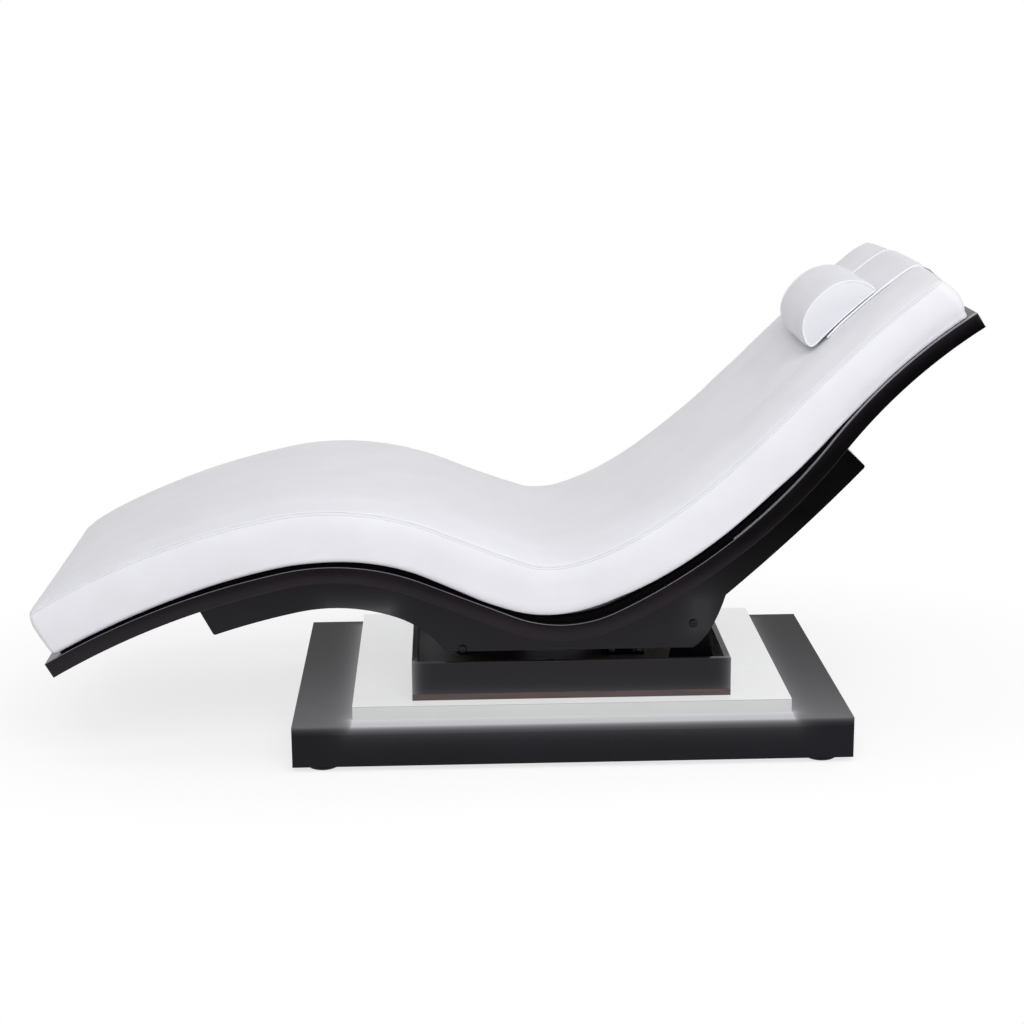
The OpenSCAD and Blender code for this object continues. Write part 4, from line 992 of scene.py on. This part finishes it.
# pieces near the slab, with its light painted on them as a glow, the plinth top with a painted reflection
# along its front edge too, and walls with painted light on their inner face
special = {
    # the plinth top: the slab's light painted on it as a glow, a painted reflection along its front edge, and
    # a painted highlight on its edge faces
    "plinth_top": lacquer_material(
        "plinth_lacquer_top", BLUISH, 0.17, 0.015,
        spill=[(lip, 0.004, 0.27), (lip, 0.013, 0.11), (slab, 0.017, 0.17), (front_line, 0.32, 0.125, 60)],
        patches=[(2, board_top - 0.0004, board_top - 0.0016, PLINTH_EDGE_HIGHLIGHT)]),
    "trough_front": trough_lacquer("trough_lacquer_front", 0.27),
    "trough_back": trough_lacquer("trough_lacquer_back", 0.04, painted_inner_light("trough_back", 1, INNER_DIM_PAINTED_LIGHT)),
    "trough_foot_side": trough_lacquer("trough_lacquer_foot", 0.04,
                                       painted_inner_light("trough_foot_side", 3, INNER_DIM_PAINTED_LIGHT)),
    "trough_head_side": trough_lacquer("trough_lacquer_head", 0.08,
                                       painted_inner_light("trough_head_side", 0, INNER_BRIGHT_PAINTED_LIGHT)),
    "keel_panel_near": lacquer_material(
        "keel_lacquer", BLUISH, 0.22, 0.25, 1.6, spill=KEEL_LIT, patches=[(0, 0.30, 0.52, KEEL_SHADE)]),
}
special["keel_panel_far"] = special["keel_panel_near"]

for obj in (cushion, band, bolster):
    obj.data.materials.append(finishes["white_hide"])
# the piping gets a lighter white than the hide, as a painted highlight
piping_hide = hide_material("piping_hide_painted_highlight", PIPING_HIGHLIGHT_WHITE, 0.40, 0.6)
for obj in (piping, bolster_piping):
    obj.data.materials.append(piping_hide)
# the thread is painted grey for the shade along the stitch line
stitches.data.materials.append(hide_material("thread_painted_shade", THREAD_SHADE_GREY, 0.6, 0.5))
# in the order of PLAIN, ARRIS and STRIP: plain lacquer, lighter lacquer on the arrises as a painted
# highlight, and lighter still on the top's edge strip as a painted reflection
for mat in (finishes["deck_lacquer"], lacquer_material("deck_lacquer_arris_highlight", DECK_ARRIS_HIGHLIGHT, 0.22, 0.5),
            lacquer_material("deck_lacquer_painted_reflection", DECK_STRIP_REFLECTION, 0.24, 0.5)):
    deck.data.materials.append(mat)
deck.data.polygons.foreach_set("material_index", finish_of)

BEVELS = {"plinth_top": 1.0, "cushion_board": 1.0, "glow_slab": 0.8, "trough_front": 0.6, "trough_back": 0.6,
          "trough_foot_side": 0.6, "trough_head_side": 0.6, "trough_floor": 0.6}


def bevelled(node, width):
    """Eased edges on a flat-sided solid."""
    weld = node.modifiers.new("weld", "WELD")
    weld.merge_threshold = 0.00001
    plain = node.modifiers.new("flat", "DECIMATE")
    plain.decimate_type = "DISSOLVE"
    plain.angle_limit = math.radians(0.4)
    edge = node.modifiers.new("edge", "BEVEL")
    edge.width = width
    edge.segments = 3
    edge.limit_method = "ANGLE"
    edge.angle_limit = math.radians(35)
    weight = node.modifiers.new("weight", "WEIGHTED_NORMAL")
    weight.keep_sharp = False
    node.data.polygons.foreach_set("use_smooth", [True] * len(node.data.polygons))


for part in frame["record"]["subparts"]:
    name, slot = part["node"], part["material_slot"]
    node = frame["nodes"][name]
    if node.hide_render:
        continue
    node.data.materials.clear()
    node.data.materials.append(special.get(name) or finishes[slot])
    if name in BEVELS:
        bevelled(node, BEVELS[name] * MM)


# ---------------------------------------------------------------- floor, light and camera

def seeing_rays(nt):
    """1 for the rays that see the surroundings: camera, glossy and transmission rays."""
    path = add(nt, "LightPath")
    seeing = calc(nt, "MAXIMUM", path["Is Camera Ray"], path["Is Glossy Ray"])
    return calc(nt, "MAXIMUM", seeing, path["Is Transmission Ray"])


def diffuse(nt, level):
    return add(nt, "BsdfDiffuse", {"Color": (level, level, level, 1)})[0]


def emission(nt, level):
    return add(nt, "Emission", {"Color": (1, 1, 1, 1), "Strength": level})[0]


def either(nt, mask, first, second):
    return add(nt, "MixShader", {0: mask, 1: first, 2: second})[0]


FLOOR_HALF = 14.0
floor_mesh = bpy.data.meshes.new("floor")
floor_mesh.from_pydata([(x * FLOOR_HALF, y * FLOOR_HALF, 0) for x, y in ((-1, -1), (1, -1), (1, 1), (-1, 1))],
                       [], [(0, 1, 2, 3)])
floor = bpy.data.objects.new("floor", floor_mesh)
scene.collection.objects.link(floor)
mat, nt, bsdf = nodes_of("floor_paper")
nt.nodes.remove(bsdf)
# paper that glows, and takes a soft shadow near the object; farther out it is plain white, without a horizon
shaded = add(nt, "AddShader", {0: diffuse(nt, 0.30), 1: emission(nt, 0.74)})[0]
radius = calc(nt, "LENGTH", place(nt, (0.8, 1.25, 1)), kind="VectorMath", out=1)
seen_paper = either(nt, eased(nt, radius, 0.75, 1.7), shaded, emission(nt, 1.0))
paper = either(nt, seeing_rays(nt), diffuse(nt, 0.80), seen_paper)
# in gloss, the lit paper ends a little in front of the object
ahead = add(nt, "SeparateXYZ", {0: place(nt, (0.2, -1, 1))})
ended = calc(nt, "MULTIPLY", eased(nt, calc(nt, "ADD", ahead[0], ahead[1]), 1.50, 2.18),
             add(nt, "LightPath")["Is Glossy Ray"])
nt.links.new(either(nt, ended, paper, diffuse(nt, 0.03)), nt.nodes["Material Output"].inputs["Surface"])
floor_mesh.materials.append(mat)

world = bpy.data.worlds.new("studio")
scene.world = world
world.use_nodes = True
nt = world.node_tree
ambient = nt.nodes["Background"]
fill(nt, ambient, {"Color": (1, 1, 1, 1), "Strength": 0.50})
white = add(nt, "Background", {"Color": (1, 1, 1, 1), "Strength": 1.0})[0]
sky = either(nt, seeing_rays(nt), ambient.outputs[0], white)
nt.links.new(sky, nt.nodes["World Output"].inputs["Surface"])


def area(name, at, to, size, watts):
    """An area lamp that lights but isn't seen, not even in gloss."""
    data = bpy.data.lights.new(name, "AREA")
    data.shape = "RECTANGLE"
    data.size, data.size_y = size
    data.energy = watts
    obj = bpy.data.objects.new(name, data)
    obj.location = at
    obj.rotation_mode = "QUATERNION"
    obj.rotation_quaternion = (Vector(to) - Vector(at)).to_track_quat("-Z", "Y")
    obj.visible_camera = False
    obj.visible_glossy = False
    scene.collection.objects.link(obj)
    return obj


area("front", (0.6, -4.65, 4.45), (0, 0, 0.5), (5.0, 3.0), 196)
# this narrow one shows in gloss, as a streak along the arrises
area("strip", (0.0, -1.3, 4.5), (0, 0, 0.5), (6.0, 0.25), 16).visible_glossy = True
area("head_side", (5.5, -2.0, 2.4), (0, 0, 0.6), (3.0, 3.0), 34)

# camera, solved from the plinth's corners in the photograph
CAMERA_AT, LENS = (-0.1081, -4.4522, 1.5242), 72.81
yaw, pitch, roll = math.radians(1.76), math.radians(13.46), math.radians(-0.50)
data = bpy.data.cameras.new("view")
data.lens = LENS
data.sensor_width = 36
cam = bpy.data.objects.new("view", data)
scene.collection.objects.link(cam)
ahead = Vector((math.sin(yaw) * math.cos(pitch), math.cos(yaw) * math.cos(pitch), -math.sin(pitch)))
right = ahead.cross(Vector((0, 0, 1))).normalized()
up = right.cross(ahead)
turn = Matrix((right * math.cos(roll) + up * math.sin(roll), up * math.cos(roll) - right * math.sin(roll),
               -ahead)).transposed()
cam.matrix_world = Matrix.Translation(CAMERA_AT) @ turn.to_4x4()
scene.camera = cam

scene.view_settings.view_transform = "Standard"
